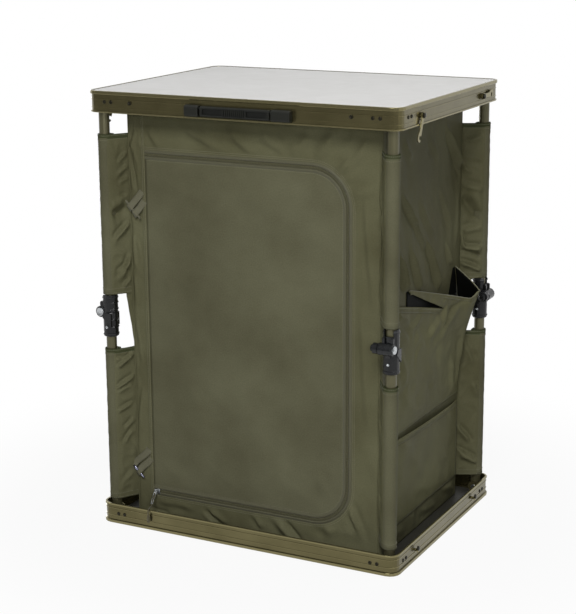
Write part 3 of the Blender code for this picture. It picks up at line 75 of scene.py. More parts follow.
# colours and nodes
def linear(hexColour):
    # sRGB hex to linear red, green, blue, alpha
    parts = [int(hexColour[i:i + 2], 16) / 255 for i in (1, 3, 5)]
    return [p / 12.92 if p <= 0.04045 else ((p + 0.055) / 1.055) ** 2.4 for p in parts] + [1]


def addNode(tree, kind, settings=None, sockets=None):
    # one node with its settings; a socket takes a number, a colour or another node's output
    node = tree.nodes.new("ShaderNode" + kind)
    for name, value in (settings or {}).items():
        setattr(node, name, value)
    for name, value in (sockets or {}).items():
        if isinstance(value, bpy.types.NodeSocket):
            tree.links.new(value, node.inputs[name])
        else:
            node.inputs[name].default_value = value
    return node


def newMaterial(name, sockets):
    # a material with one shader, its fixed values set on its own sockets
    material = bpy.data.materials.new(name)
    material.use_nodes = True
    tree = material.node_tree
    tree.nodes.clear()
    shader = addNode(tree, "BsdfPrincipled", {}, sockets)
    addNode(tree, "OutputMaterial", {}, {"Surface": shader.outputs[0]})
    return material, tree, shader


def speckle(tree, where, scale, detail, **more):
    # noise from 0 to 1
    return addNode(tree, "TexNoise", {}, {"Vector": where, "Scale": scale, "Detail": detail, **more}).outputs[0]


def spread(tree, value, toMin=0.0, toMax=1.0, fromMin=0.3, fromMax=0.7):
    # stretches the middle of a noise over a range
    return addNode(tree, "MapRange", {}, {"Value": value, "From Min": fromMin, "From Max": fromMax,
                                          "To Min": toMin, "To Max": toMax}).outputs[0]


def greater(tree, first, second):
    return addNode(tree, "Math", {"operation": "MAXIMUM"}, {0: first, 1: second}).outputs[0]


def twoTone(tree, share, hexFrom, hexTo):
    return addNode(tree, "Mix", {"data_type": "RGBA"}, {0: share, 6: linear(hexFrom), 7: linear(hexTo)}).outputs[2]


def bumped(tree, height, strength, distance, under=None):
    # relief of a real height in metres, over another one
    sockets = {"Height": height, "Strength": strength, "Distance": distance}
    if under is not None:
        sockets["Normal"] = under
    return addNode(tree, "Bump", {}, sockets).outputs[0]


def fit(tree, shader, colour, gloss, relief):
    for name, value in (("Base Color", colour), ("Roughness", gloss), ("Normal", relief)):
        tree.links.new(value, shader.inputs[name])


def objectPlace(tree):
    return addNode(tree, "TexCoord").outputs["Object"]


def edges(tree):
    return addNode(tree, "NewGeometry").outputs["Pointiness"]


def coatedOxford(name, hexLight, hexDark, grain, roughness, depth):
    # woven polyester with a thin polyurethane coat: a soft sheen, sharp dry creases, and a weave of fine ribs
    material, tree, shader = newMaterial(name, {"IOR": 1.40, "Specular IOR Level": 0.05})
    uv, place = addNode(tree, "UVMap").outputs[0], objectPlace(tree)
    bands = 2 * math.pi / 20 / weavePitch  # a wave texture repeats each 2 pi / 20 over its scale
    warp, weft = (addNode(tree, "TexWave", {"bands_direction": way, "wave_profile": "SIN"},
                          {"Vector": uv, "Scale": bands, "Distortion": 0.6, "Detail": 1.0,
                           "Detail Scale": 1.0}).outputs[1] for way in "XY")
    weave = addNode(tree, "Math", {"operation": "MULTIPLY"}, {0: warp, 1: weft}).outputs[0]
    broad = speckle(tree, place, 7.0, 3.0, Roughness=0.55)
    fleck = spread(tree, speckle(tree, uv, 420.0, 2.0, Roughness=0.6), 0.88, 1.12, 0.25, 0.75)
    tone = twoTone(tree, spread(tree, broad), hexDark, hexLight)
    colour = addNode(tree, "VectorMath", {"operation": "SCALE"}, {0: tone, "Scale": fleck}).outputs[0]
    hang = addNode(tree, "Mapping", {}, {"Vector": place, "Rotation": (0.35, 0.35, 0.0), "Scale": (1, 1, 0.5)})
    packed = addNode(tree, "TexNoise", {"noise_type": "RIDGED_MULTIFRACTAL"},
                     {"Vector": hang.outputs[0], "Scale": 15.0, "Detail": 2.0, "Roughness": 0.4, "Distortion": 0.5})
    relief = bumped(tree, packed.outputs[0], depth, 0.006)
    relief = bumped(tree, speckle(tree, uv, 55.0, 3.0, Roughness=0.5, Distortion=0.8), 0.35, 0.0014, relief)
    relief = bumped(tree, weave, grain, weavePitch * 0.25, relief)
    fit(tree, shader, colour, spread(tree, broad, roughness - 0.05, roughness + 0.07), relief)
    return material


def powderCoat(name, hexCoat, hexWorn, metallic, roughness):
    # olive satin coat on extruded aluminium: broad soft highlights, faint lines along the extrusion, paler edges
    material, tree, shader = newMaterial(name, {"Metallic": metallic})
    place = objectPlace(tree)
    lines = addNode(tree, "Mapping", {}, {"Vector": place, "Scale": (6, 6, 900)})  # die lines about 1 mm apart
    drawn = speckle(tree, lines.outputs[0], 1.0, 2.0)
    cloud = spread(tree, speckle(tree, place, 14.0, 3.0), 0.0, 0.22)
    worn = greater(tree, spread(tree, edges(tree), 0.0, 0.55, 0.505, 0.56), cloud)
    relief = bumped(tree, speckle(tree, place, 900.0, 2.0), 0.12, 0.0002)
    relief = bumped(tree, drawn, 0.03, 0.0002, relief)
    fit(tree, shader, twoTone(tree, worn, hexCoat, hexWorn),
        spread(tree, drawn, roughness - 0.02, roughness + 0.03), relief)
    return material


def pressedLaminate(name, hexLight, hexDark, roughness):
    # melamine-faced board: an even satin skin with a very slight orange peel and faint rub marks
    material, tree, shader = newMaterial(name, {"IOR": 1.5})
    place = objectPlace(tree)
    cloud = spread(tree, speckle(tree, place, 5.0, 4.0, Roughness=0.6))
    rubbed = speckle(tree, place, 22.0, 5.0, Distortion=1.2)
    fit(tree, shader, twoTone(tree, cloud, hexDark, hexLight),
        spread(tree, rubbed, roughness - 0.04, roughness + 0.06),
        bumped(tree, speckle(tree, place, 350.0, 1.0), 0.06, 0.0003))
    return material


def mouldedNylon(name, hexMoulded, hexWorn, roughness, grain, mirror):
    # black glass-filled nylon, injection moulded with a fine spark texture, polished where hands touch it
    material, tree, shader = newMaterial(name, {"IOR": 1.53, "Specular IOR Level": mirror})
    place = objectPlace(tree)
    cloud = speckle(tree, place, 60.0, 3.0)
    fit(tree, shader, twoTone(tree, spread(tree, edges(tree), 0.0, 0.6, 0.51, 0.6), hexMoulded, hexWorn),
        spread(tree, cloud, roughness - 0.06, roughness + 0.08),
        bumped(tree, speckle(tree, place, 1100.0, 2.0), grain, 0.0002))
    return material


def platedSteel(name, hexLight, hexDark, roughness):
    # zinc-plated steel: bright, slightly blue, with turned marks and dull patches
    material, tree, shader = newMaterial(name, {"Metallic": 1.0})
    cloud = speckle(tree, objectPlace(tree), 160.0, 4.0)
    fit(tree, shader, twoTone(tree, cloud, hexDark, hexLight),
        spread(tree, cloud, roughness - 0.06, roughness + 0.1), bumped(tree, cloud, 0.1, 0.0001))
    return material


def wovenTape(name, hexLight, hexDark, ribPitch):
    # narrow woven nylon: ribs across, fuzzy and matt
    material, tree, shader = newMaterial(name, {"IOR": 1.5, "Sheen Weight": 0.2})
    ribs = speckle(tree, objectPlace(tree), 1.0 / ribPitch, 2.0)
    fit(tree, shader, twoTone(tree, spread(tree, ribs), hexDark, hexLight),
        spread(tree, ribs, 0.55, 0.8, 0.0, 1.0), bumped(tree, ribs, 0.5, 0.0004))
    return material


weavePitch = 2.2 * mm  # the real weave is 0.5 mm, and is drawn wider so that it shows
oxford = coatedOxford("coatedOxford", "#6a6950", "#57553e", 0.22, 0.46, 0.6)
oxfordFlat = coatedOxford("coatedOxfordTaut", "#6a6953", "#595743", 0.22, 0.46, 0.22)
# painted light: the pockets' cloth is the same oxford made lighter, for the light that falls on their bulging faces
oxfordPocketPaintedLight = coatedOxford("coatedOxfordPocketPaintedLight", "#747356", "#605e45", 0.22, 0.44, 0.8)
binding = coatedOxford("darkHemCloth", "#474b33", "#3d402b", 0.22, 0.5, 0.2)
# painted shade: near-black cloth inside the pockets and on the wall behind them, standing in for the pockets' shade
paintedShadeLining = coatedOxford("blackLiningPaintedShade", "#0a0b08", "#060705", 0.15, 0.6, 0.3)
rimCoat = powderCoat("oliveRimCoat", "#5c5639", "#989069", 0.85, 0.22)
tubeCoat = powderCoat("oliveTubeCoat", "#45432d", "#6a664c", 0.5, 0.36)
laminate = pressedLaminate("paleTableLaminate", "#d6d5d3", "#cfcecb", 0.38)
floorLaminate = pressedLaminate("darkFloorLaminate", "#2c2b24", "#23221c", 0.5)
nylon = mouldedNylon("kneeNylon", "#0f1011", "#2a2b2c", 0.24, 0.35, 0.3)
gripNylon = mouldedNylon("handleNylon", "#10110e", "#2b2c26", 0.48, 0.3, 0.2)
zinc = platedSteel("zincPlate", "#c9cccd", "#a9adb0", 0.28)
blueZinc = platedSteel("blueZincRod", "#a2a3b4", "#77788c", 0.25)
darkZinc = platedSteel("blackenedRivet", "#3a3830", "#201f19", 0.35)
webbing = wovenTape("oliveWebbing", "#6a6852", "#54523d", 0.7 * mm)
zipTape = wovenTape("zipTape", "#59573f", "#494732", 0.8 * mm)
zipCoil = mouldedNylon("zipCoilNylon", "#4a4834", "#5c5a45", 0.5, 0.1, 0.15)
thread = wovenTape("sewingThread", "#7b7a62", "#66654f", 0.5 * mm)
cordBraid = wovenTape("cordBraid", "#5a5338", "#413c29", 0.6 * mm)
print("materials made")


def dress(material, *names):
    # a CAD node keeps its shape and takes a finish
    for name in names:
        for s in nodes[name].material_slots:
            s.material = material


corners = ("fl", "fr", "br", "bl")
dress(rimCoat, "lid_rim", "base_rim", "latch_front_left", "latch_front_right", "latch_rear_left", "latch_rear_right")
dress(laminate, "lid_panel")
dress(floorLaminate, "base_panel")
dress(gripNylon, "handle_block_left", "handle_block_right", "handle_grip")
dress(zinc, "zip_slider")
for corner in corners:
    dress(tubeCoat, corner + "_lower_tube", corner + "_upper_tube")
    dress(nylon, corner + "_knee_socket", corner + "_knee_yoke", corner + "_knee_button")
    dress(zinc, corner + "_knee_pin", "lid_pin_" + corner, "base_pin_" + corner)


# mesh helpers
def makePiece(name, verts, faces, material, uvs=None, smooth=True):
    mesh = bpy.data.meshes.new(name)
    mesh.from_pydata([tuple(v) for v in verts], [], faces)
    layer = mesh.uv_layers.new(name="cloth")
    if uvs is not None:
        index = [0] * len(mesh.loops)
        mesh.loops.foreach_get("vertex_index", index)
        layer.data.foreach_set("uv", [part for i in index for part in uvs[i]])
    mesh.polygons.foreach_set("use_smooth", [smooth] * len(mesh.polygons))
    mesh.materials.append(material)
    piece = bpy.data.objects.new(name, mesh)
    bpy.context.scene.collection.objects.link(piece)
    return piece


def gridFaces(rows, columns, closed=False, start=0):
    faces = []
    for row in range(rows - 1):
        for column in range(columns if closed else columns - 1):
            after = (column + 1) % columns
            a, b = start + row * columns + column, start + row * columns + after
            faces.append((a, b, b + columns, a + columns))
    return faces


def thicken(piece, thickness):
    # gives cloth its thickness behind its outer face
    solid = piece.modifiers.new("thickness", "SOLIDIFY")
    solid.thickness = thickness * mm
    solid.offset = -1
    solid.material_offset = 1 if len(piece.data.materials) > 1 else 0  # a second material, the near-black lining that is painted shade, goes on the inner face
    graph = bpy.context.evaluated_depsgraph_get()
    mesh = bpy.data.meshes.new_from_object(piece.evaluated_get(graph), preserve_all_data_layers=True, depsgraph=graph)
    piece.modifiers.clear()
    piece.data = mesh
    return piece


def carried(piece, body="base", crumples=True):
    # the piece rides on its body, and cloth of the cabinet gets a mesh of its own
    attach(piece, body)
    if crumples:
        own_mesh(piece)
    return piece


def ease(x):
    x = min(1.0, max(0.0, x))
    return x * x * (3 - 2 * x)


def foldSwell(a, b, folds):
    # each fold runs from one point to another with a width and a height in millimetres
    swell = 0.0
    for a0, b0, a1, b1, wide, high in folds:
        runA, runB = a1 - a0, b1 - b0
        long = math.hypot(runA, runB)
        along = ((a - a0) * runA + (b - b0) * runB) / long ** 2
        off = ((a - a0) * runB - (b - b0) * runA) / long / wide
        if -0.2 < along < 1.2 and abs(off) < 4:
            off += 0.35 * math.sin(3.1 * along + a0)  # no real fold is straight
            fade = ease((along + 0.2) / 0.45) * ease((1.2 - along) / 0.45)
            swell += high * fade * (math.exp(-abs(off) ** 1.5) - 0.5 * math.exp(-(off - 1.8) ** 2))
    return swell


def waves(a, b, size, seed):
    return noise.noise(Vector((a / size, b / size, seed)))


def creases(a, b, size, seed):
    # soft facets that meet in sharp creases, as in stiff coated cloth
    bend = 0.8 * waves(a, b, size * 1.7, seed + 9)
    return 1 - 2.2 * abs(noise.noise(Vector((a / size + bend, b / size - bend, seed))))


stitch = {"pitch": 3.6, "long": 2.5, "wide": 0.7, "high": 0.45}


def stitches(name, lines):
    # each line is a list of (point, outward) pairs; one small ridge per stitch
    verts, faces = [], []
    for line in lines:
        travelled, due = 0.0, stitch["pitch"] * 0.5
        for (p, out), (q, nextOut) in zip(line, line[1:]):
            step = (q - p).length / mm
            while step > 0 and due <= travelled + step:
                share = (due - travelled) / step
                centre = p.lerp(q, share)
                normal = out.lerp(nextOut, share).normalized()
                along = (q - p).normalized()
                across = along.cross(normal).normalized() * stitch["wide"] * 0.5 * mm
                half = along * stitch["long"] * 0.5 * mm
                rise = normal * stitch["high"] * mm
                n = len(verts)
                verts += [centre - half - across, centre - half + across, centre + half + across,
                          centre + half - across, centre - half * 0.6 + rise, centre + half * 0.6 + rise]
                faces += [(n, n + 4, n + 5, n + 3), (n + 2, n + 5, n + 4, n + 1), (n, n + 1, n + 4),
                          (n + 2, n + 3, n + 5)]
                due += stitch["pitch"]
            travelled += step
    return makePiece(name, verts, faces, thread)


def squareTo(along):
    return along.cross(Vector((0, 0, 1)) if abs(along.z) < 0.9 else Vector((1, 0, 0))).normalized()


def circle(centre, side, other, radius, sides):
    turns = [2 * math.pi * k / sides for k in range(sides)]
    return [centre + (side * math.cos(turn) + other * math.sin(turn)) * radius * mm for turn in turns]


def solidRings(count, sides):
    # faces of a stack of rings with both ends closed
    last = count * sides
    return gridFaces(count, sides, True) + [tuple(range(sides - 1, -1, -1)), tuple(range(last - sides, last))]


def tube(name, points, radius, material, sides):
    # a round tube through points in the frame
    verts = []
    side = None
    for i, p in enumerate(points):
        along = (points[min(i + 1, len(points) - 1)] - points[max(i - 1, 0)]).normalized()
        side = squareTo(along) if side is None else side
        side = (side - along * side.dot(along)).normalized()
        verts += circle(p, side, along.cross(side), radius, sides)
    girth = 2 * math.pi * radius * mm
    uvs = [((i % sides) * girth / sides, (i // sides) * 0.002) for i in range(len(verts))]
    return makePiece(name, verts, solidRings(len(points), sides), material, uvs)


def lathe(name, profile, centre, axis, material, sides):
    # profile is (radius, height along axis) in millimetres, closed at both ends
    axis = Vector(axis).normalized()
    side = squareTo(axis)
    verts = []
    for radius, height in profile:
        verts += circle(centre + axis * height * mm, side, axis.cross(side), radius, sides)
    return makePiece(name, verts, solidRings(len(profile), sides), material)


def smoothLine(guides, steps):
    # a smooth curve through the guides, with a number of steps from one to the next
    line = []
    padded = [guides[0]] + list(guides) + [guides[-1]]
    for i in range(1, len(padded) - 2):
        p0, p1, p2, p3 = (Vector(padded[i + k]) for k in (-1, 0, 1, 2))
        for step in range(steps):
            t = step / steps
            line.append((p1 * 2 + (p2 - p0) * t + (p0 * 2 - p1 * 5 + p2 * 4 - p3) * t * t
                         + (p1 * 3 - p0 - p2 * 3 + p3) * t ** 3) / 2)
    line.append(Vector(guides[-1]))
    return line


# zip pull cord, on the same line as its solid, with a knot on its end
cordRoute = {"guides": [(95, 40.5, 59.2), (95, 37.5, 54.2), (97, 28.5, 48.2), (100, 18, 40.6), (102, 7, 39.6),
                        (103.5, 1.0, 39.3), (104.5, -2.2, 35.9), (105, -2.4, 29)],
             "radius": 1.1, "steps": 4, "knotTop": (105, -2.4, 29), "knotSides": 14}
knotProfile = [(1.2, -14), (1.9, -13), (2.3, -11), (2.1, -10), (2.496, -8.6), (2.6, -6.2), (2.2, -4.4), (2.6, -2.6),
               (2.0, -0.8), (0.9, 0)]
cordLine = [at(*p) for p in smoothLine(cordRoute["guides"], cordRoute["steps"])]
cordCurve = bpy.data.curves.new("zipCord", "CURVE")
cordCurve.dimensions = "3D"
cordCurve.bevel_depth = cordRoute["radius"] * mm
cordCurve.bevel_resolution = 3
cordCurve.use_fill_caps = True
spline = cordCurve.splines.new("POLY")
spline.points.add(len(cordLine) - 1)
for point, p in zip(spline.points, cordLine):
    point.co = (*p, 1)
cordCurve.materials.append(cordBraid)
zipCord = bpy.data.objects.new("zipCord", cordCurve)
bpy.context.scene.collection.objects.link(zipCord)
cordKnot = lathe("zipCordKnot", knotProfile, at(*cordRoute["knotTop"]), (0, 0, 1), cordBraid, cordRoute["knotSides"])
for piece, node in ((zipCord, "zip_pull_cord"), (cordKnot, "zip_pull_tip")):
    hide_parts(node)
    carried(piece, "pull", False)

# the slider's wire loop lies along both sides of the cord's upper end
wire = {"guides": [(93.6, 41.5, 62.5), (92.6, 37.0, 54.6), (94.4, 28.6, 49.0), (97.2, 21.5, 43.6), (99.4, 20.6, 43.0),
                   (100.0, 22.5, 44.4), (98.6, 29.5, 49.6), (97.2, 37.4, 55.0), (96.6, 41.5, 62.5)],
        "radius": 0.7, "steps": 4, "sides": 8}
wireLine = [at(*p) for p in smoothLine(wire["guides"], wire["steps"])]
carried(tube("zipWirePull", wireLine, wire["radius"], zinc, wire["sides"]), "pull", False)
print("zip cord made")


# front wall, the ring of cloth round the door
door = {"left": 88, "right": 483, "top": 688, "bottom": 62, "corner": 66, "face": 48, "middle": 375, "half": 313,
        "ringOut": 5.2, "ringLeft": 0.3, "downSteps": 150, "ringSteps": 18, "rows": 128, "columns": 80,
        "flat": (0.395, 0.626)}
wall = {"left": 52, "right": 548, "front": 48, "back": 412, "floor": 6.2, "top": 797.4, "corner": 6, "cloth": 1.4,
        "frontInset": 4, "rows": 216, "cornerSteps": 4, "steps": {"right": 116, "back": 76, "left": 80},
        "frontFlat": (0.490, 0.792), "frontArea": 0.488 * 0.791, "sideFlat": (1.20, 0.792)}
frontFolds = [  # x, z on the front wall
    (97, 736, 121, 704, 5, 2.4), (175, 743, 244, 703, 7, 2.6), (260, 741, 309, 708, 7, 2.4),
    (325, 741, 364, 711, 7, 2.0), (410, 740, 381, 707, 8, 2.2), (464, 750, 413, 694, 9, 3.0),
    (486, 761, 467, 730, 5, -2.6), (534, 741, 458, 682, 6, 4.2), (538, 747, 491, 711, 3, -2.4),
    (530, 661, 482, 642, 7, 2.4), (491, 685, 471, 663, 6, 2.0), (53, 707, 74, 622, 2.6, -2.6),
    (59, 672, 70, 622, 2.4, -2.2), (82, 737, 78, 615, 2.2, -1.8), (72, 733, 62, 700, 4, 1.8),
    (67, 697, 74, 662, 3, 1.6), (59, 541, 65, 482, 4, 1.8), (69, 534, 74, 494, 3, 1.4), (58, 468, 65, 422, 4, 1.6),
    (466, 134, 513, 54, 6, 4.0), (427, 78, 452, 34, 10, 3.4), (355, 58, 393, 13, 5, -4.4),
    (337, 59, 373, 12, 7, 2.4), (296, 48, 316, 26, 5, 2.6), (199, 39, 224, 16, 4, -3.2), (208, 36, 241, 23, 5, 2.6),
    (100, 41, 165, 37, 6, 1.6), (78, 22, 117, 20, 4, -2.0), (495, 109, 522, 39, 5, -2.6), (481, 162, 495, 109, 6, 1.8),
    (519, 643, 531, 473, 5, 1.6), (512, 454, 525, 260, 6, 1.6), (62, 380, 70, 300, 4, 1.4), (72, 260, 62, 190, 4, 1.4),
]
doorFolds = [  # x, z on the door
    (110, 655, 260, 600, 16, 1.2), (300, 640, 440, 560, 20, 1.1), (120, 430, 180, 250, 22, 1.0),
    (430, 140, 462, 86, 9, 1.3), (446, 160, 470, 120, 7, 1.0), (380, 110, 440, 84, 10, 1.0),
    (105, 120, 150, 84, 10, 1.1), (250, 300, 330, 130, 26, 0.9), (400, 430, 450, 300, 20, 0.9),
]
# folds that were read off the small picture stand higher on the real cloth
foldGain = {"front": 2.0, "sides": 2.8, "flap": 2.6, "rearFlap": 3.0, "pocket": 1.5}


def outsideDoor(x, z):
    # distance outside the door's outline, less than 0 inside it
    high = abs(z - door["middle"])
    across, above = x - (door["right"] - door["corner"]), high - (door["half"] - door["corner"])
    if across > 0 and above > 0:
        d = math.hypot(across, above) - door["corner"]
    else:
        d = max(x - door["right"], high - door["half"])
    return max(d, door["left"] - x)


def frontSwell(x, z):
    # outward swell of the front wall and the door in millimetres
    out = outsideDoor(x, z)
    if out > 0:
        swell = foldGain["front"] * foldSwell(x, z, frontFolds)
        if x < door["left"] + 2:
            swell += 1.2 * creases(x, z * 0.6, 20, 3.1) + 0.7 * creases(x, z * 0.6, 9, 8.2)
        else:
            swell += 1.2 * waves(x, z, 60, 1.7) + 0.9 * creases(x, z, 34, 4.4)
        edge = min(x - wall["left"] - 2, wall["right"] - 2 - x)
        puckers = 0.5 * waves(x, z, 9, 2.2) * math.exp(-(out - 12) ** 2 / 60)  # the zip's sewing draws the cloth in
        return swell * ease((out - 9) / 22) * ease(edge / 8) + puckers
    swell = 3.0 * waves(x, z * 0.55, 120, 5.5) + 1.1 * waves(x, z, 48, 6.1) + 0.8 * creases(x, z, 70, 7.7)
    swell += foldSwell(x, z, doorFolds)
    return swell * ease((-out - 7) / 45) + 0.45 * waves(x, z, 10, 2.9) * math.exp(-(out + 9) ** 2 / 50)


def doorLoop(grow, seamGrow, step=4.0):
    # points round the door's outline with the way outward in the wall's plane, anticlockwise from bottom left
    x0, x1 = door["left"] - seamGrow, door["right"] + grow
    z0, z1 = door["bottom"] - grow, door["top"] + grow
    r = door["corner"] + grow
    straight, upright = x1 - r - x0, z1 - z0 - 2 * r
    around, back, rise = int(r * math.pi / 2 / step), int(straight / step), int(upright / step)
    bend = [math.pi / 2 * i / around for i in range(around + 1)]
    line = [(x0 + i * step, z0, 0, -1) for i in range(back)]
    for t in bend:
        t -= math.pi / 2
        line.append((x1 - r + r * math.cos(t), z0 + r + r * math.sin(t), math.cos(t), math.sin(t)))
    line += [(x1, z0 + r + upright * i / rise, 1, 0) for i in range(1, rise)]
    line += [(x1 - r + r * math.cos(t), z1 - r + r * math.sin(t), math.cos(t), math.sin(t)) for t in bend]
    line += [(x1 - r - straight * i / back, z1, 0, 1) for i in range(1, back + 1)]
    return line


def frontPoint(x, z, proud=0.0):
    return at(x, door["face"] - frontSwell(x, z) - proud, z)


def makeFrontWall():
    # a grid from the door's edge out to the edges of the wall
    inner = doorLoop(door["ringOut"], door["ringLeft"])
    x0, z0, z1 = inner[0][0], inner[0][1], inner[-1][1]
    inner += [(x0, z1 - (z1 - z0) * i / door["downSteps"], -1, 0) for i in range(1, door["downSteps"])]
    x1, r = door["right"] + door["ringOut"], door["corner"] + door["ringOut"]
    left, right = wall["left"] + wall["frontInset"], wall["right"] - wall["frontInset"]
    low, high = wall["floor"], wall["top"]
    outer = []
    for x, z, nx, nz in inner:
        if nx == -1:
            outer.append((left, low + (high - low) * (z - z0) / (z1 - z0)))
        elif nz in (-1, 1) and nx == 0:
            outer.append((left + (x1 - r - left) * (x - x0) / (x1 - r - x0), low if nz < 0 else high))
        elif nx == 1 and nz == 0:
            outer.append((right, z))
        else:
            cx, cz = x1 - r, z0 + r if nz < 0 else z1 - r
            reach = min((right - cx) / max(nx, 1e-6), (cz - low if nz < 0 else high - cz) / max(abs(nz), 1e-6))
            outer.append((cx + nx * reach, cz + nz * reach))
    verts, uvs = [], []
    for k in range(door["ringSteps"] + 1):
        share = k / door["ringSteps"]
        for (x, z, nx, nz), (ox, oz) in zip(inner, outer):
            px, pz = x + (ox - x) * share, z + (oz - z) * share
            verts.append(frontPoint(px, pz))
            uvs.append((px * mm, pz * mm))
    piece = makePiece("frontWall", verts, gridFaces(door["ringSteps"] + 1, len(inner), True), oxford, uvs)
    if piece.data.polygons[0].normal.y > 0:
        piece.data.flip_normals()
    return thicken(piece, wall["cloth"])


frontWall = makeFrontWall()
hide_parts("cabinet_fabric")
carried(frontWall)
print("front wall made")


# side and back walls in one sheet
rightFolds = [  # y, z on the right wall
    (331, 724, 399, 640, 5, 4.6), (399, 638, 424, 554, 5, 1.8), (134, 632, 193, 575, 4, 3.4),
    (193, 575, 231, 530, 5, 1.8), (245, 534, 306, 437, 5, 3.8), (120, 532, 152, 467, 6, 4.0),
    (172, 532, 220, 454, 5, 3.0), (336, 511, 368, 463, 5, 2.6), (251, 717, 290, 676, 8, 1.6),
    (136, 733, 163, 695, 8, 1.4), (210, 609, 277, 541, 7, 1.4), (307, 619, 355, 537, 7, 1.8),
    (410, 621, 401, 510, 8, -3.0), (86, 40, 150, 24, 8, 0.7), (230, 36, 300, 20, 7, 0.7), (340, 38, 396, 22, 7, 0.8),
]
leftFolds = [  # y, z on the left wall
    (96, 748, 160, 640, 12, 3.0), (180, 760, 236, 650, 13, 2.6), (290, 756, 352, 640, 12, 2.8),
    (352, 640, 400, 520, 11, 2.2), (76, 640, 120, 520, 10, 2.2), (240, 560, 300, 430, 14, 2.2),
    (120, 430, 180, 300, 16, 2.0), (300, 360, 352, 230, 15, 2.0), (90, 150, 150, 60, 10, 2.2),
    (250, 140, 316, 48, 11, 2.0), (360, 170, 404, 70, 9, 2.2),
]
backFolds = [  # x, z on the back wall
    (80, 760, 150, 640, 13, 3.2), (190, 768, 262, 660, 14, 2.6), (330, 770, 400, 650, 14, 2.8),
    (450, 752, 520, 630, 12, 3.0), (110, 560, 190, 410, 16, 2.4), (300, 540, 372, 380, 18, 2.2),
    (440, 500, 500, 360, 14, 2.2), (90, 300, 160, 150, 15, 2.2), (260, 260, 340, 110, 16, 2.0),
    (430, 220, 504, 70, 12, 2.6), (70, 150, 118, 50, 9, 2.2), (200, 110, 280, 40, 10, 1.8),
]


def wallPath():
    # plan of the sheet from front right to front left: (x, y, outward x, outward y, wall name)
    c, steps = wall["corner"], wall["cornerSteps"]
    x0, x1, y0, y1 = wall["left"] + c, wall["right"] - c, wall["front"] + c, wall["back"] - c
    turns = ((x1, y0), (x1, y1), (x0, y1), (x0, y0))
    outward = {"right": (1, 0), "back": (0, 1), "left": (-1, 0)}
    path = []
    for index, (cx, cy) in enumerate(turns):
        for i in range(steps + 1):
            t = math.pi / 2 * (index - 1) + math.pi / 2 * i / steps
            path.append((cx + c * math.cos(t), cy + c * math.sin(t), math.cos(t), math.sin(t), "corner"))
        if index < 3:
            side = ("right", "back", "left")[index]
            (nx, ny), (nextX, nextY), count = outward[side], turns[index + 1], wall["steps"][side]
            for i in range(1, count):
                share = i / count
                path.append((cx + c * nx + (nextX - cx) * share, cy + c * ny + (nextY - cy) * share, nx, ny, side))
    return path


# place of the pockets on the right wall, in y and z; flat sizes are in metres, here and elsewhere
pocket = {"wallFace": 549.9, "front": 104, "back": 402, "bottom": 46, "foot": 214.3, "top": 464,
          "slipTop": (207, 199), "slipReach": 6.0, "cloth": 1.2, "slipCloth": 1.0,
          "gussetLean": 25.5, "flat": (0.372, 0.245), "slipFlat": (0.300, 0.158)}


def sideSwell(side, along, z, fromCorner):
    folds = {"right": rightFolds, "left": leftFolds, "back": backFolds}[side]
    seed = {"right": 11.0, "left": 21.0, "back": 31.0}[side]
    swell = foldGain["sides"] * foldSwell(along, z, folds)
    lean = along + z * 0.35  # the cloth hangs in slanting waves
    swell += 1.8 * waves(lean, z * 0.35, 70, seed) + 1.3 * creases(lean, z * 0.5, 46, seed + 2)
    if side == "right":  # the pockets lie flat on this wall
        start, end = pocket["front"], pocket["back"]
        above = pocket["top"] + 7 - 0.19 * min(along - start, 200) if along < 330 else pocket["top"] + 6
        beside = max(ease((start - 4 - along) / 10), ease((along - end - 4) / 6), ease((z - above) / 14))
        swell *= max(beside, ease((44 - z) / 8))
    return swell * ease(fromCorner / 26) * ease((wall["top"] - z) / 26) * ease((z - wall["floor"]) / 16)


def sidePoint(x, y, nx, ny, side, z):
    swell = 0.0
    if side in ("right", "left"):
        swell = sideSwell(side, y, z, min(y - wall["front"], wall["back"] - y) - wall["corner"])
    elif side == "back":
        swell = sideSwell(side, x, z, min(x - wall["left"], wall["right"] - x) - wall["corner"])
    return at(x + nx * swell, y + ny * swell, z)


def makeSideWalls():
    path, rows = wallPath(), wall["rows"]
    verts, uvs = [], []
    for row in range(rows):
        z = wall["floor"] + (wall["top"] - wall["floor"]) * row / (rows - 1)
        run, last = 0.0, None
        for x, y, nx, ny, side in path:
            run += math.hypot(x - last[0], y - last[1]) if last else 0.0
            last = (x, y)
            verts.append(sidePoint(x, y, nx, ny, side, z))
            uvs.append((run * mm, z * mm))
    piece = makePiece("sideWalls", verts, gridFaces(rows, len(path)), oxford, uvs)
    return thicken(piece, wall["cloth"])


sideWalls = carried(makeSideWalls())
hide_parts("cabinet_fabric")
print("side and back walls made")


# door cloth
def makeDoor():
    rows, columns = door["rows"], door["columns"]
    verts, uvs = [], []
    for row in range(rows):
        z = door["bottom"] + (door["top"] - door["bottom"]) * row / (rows - 1)
        high = abs(z - door["middle"]) - (door["half"] - door["corner"])
        edge = door["right"] - door["corner"] + math.sqrt(max(0, door["corner"] ** 2 - max(0, high) ** 2))
        for column in range(columns):
            x = door["left"] + 0.2 + (edge - door["left"] - 0.2) * column / (columns - 1)
            verts.append(frontPoint(x, z))
            uvs.append((x * mm, z * mm))
    piece = makePiece("doorCloth", verts, gridFaces(rows, columns), oxfordFlat, uvs)
    return thicken(piece, wall["cloth"])


doorCloth = carried(makeDoor(), "door")
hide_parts("door_panel")


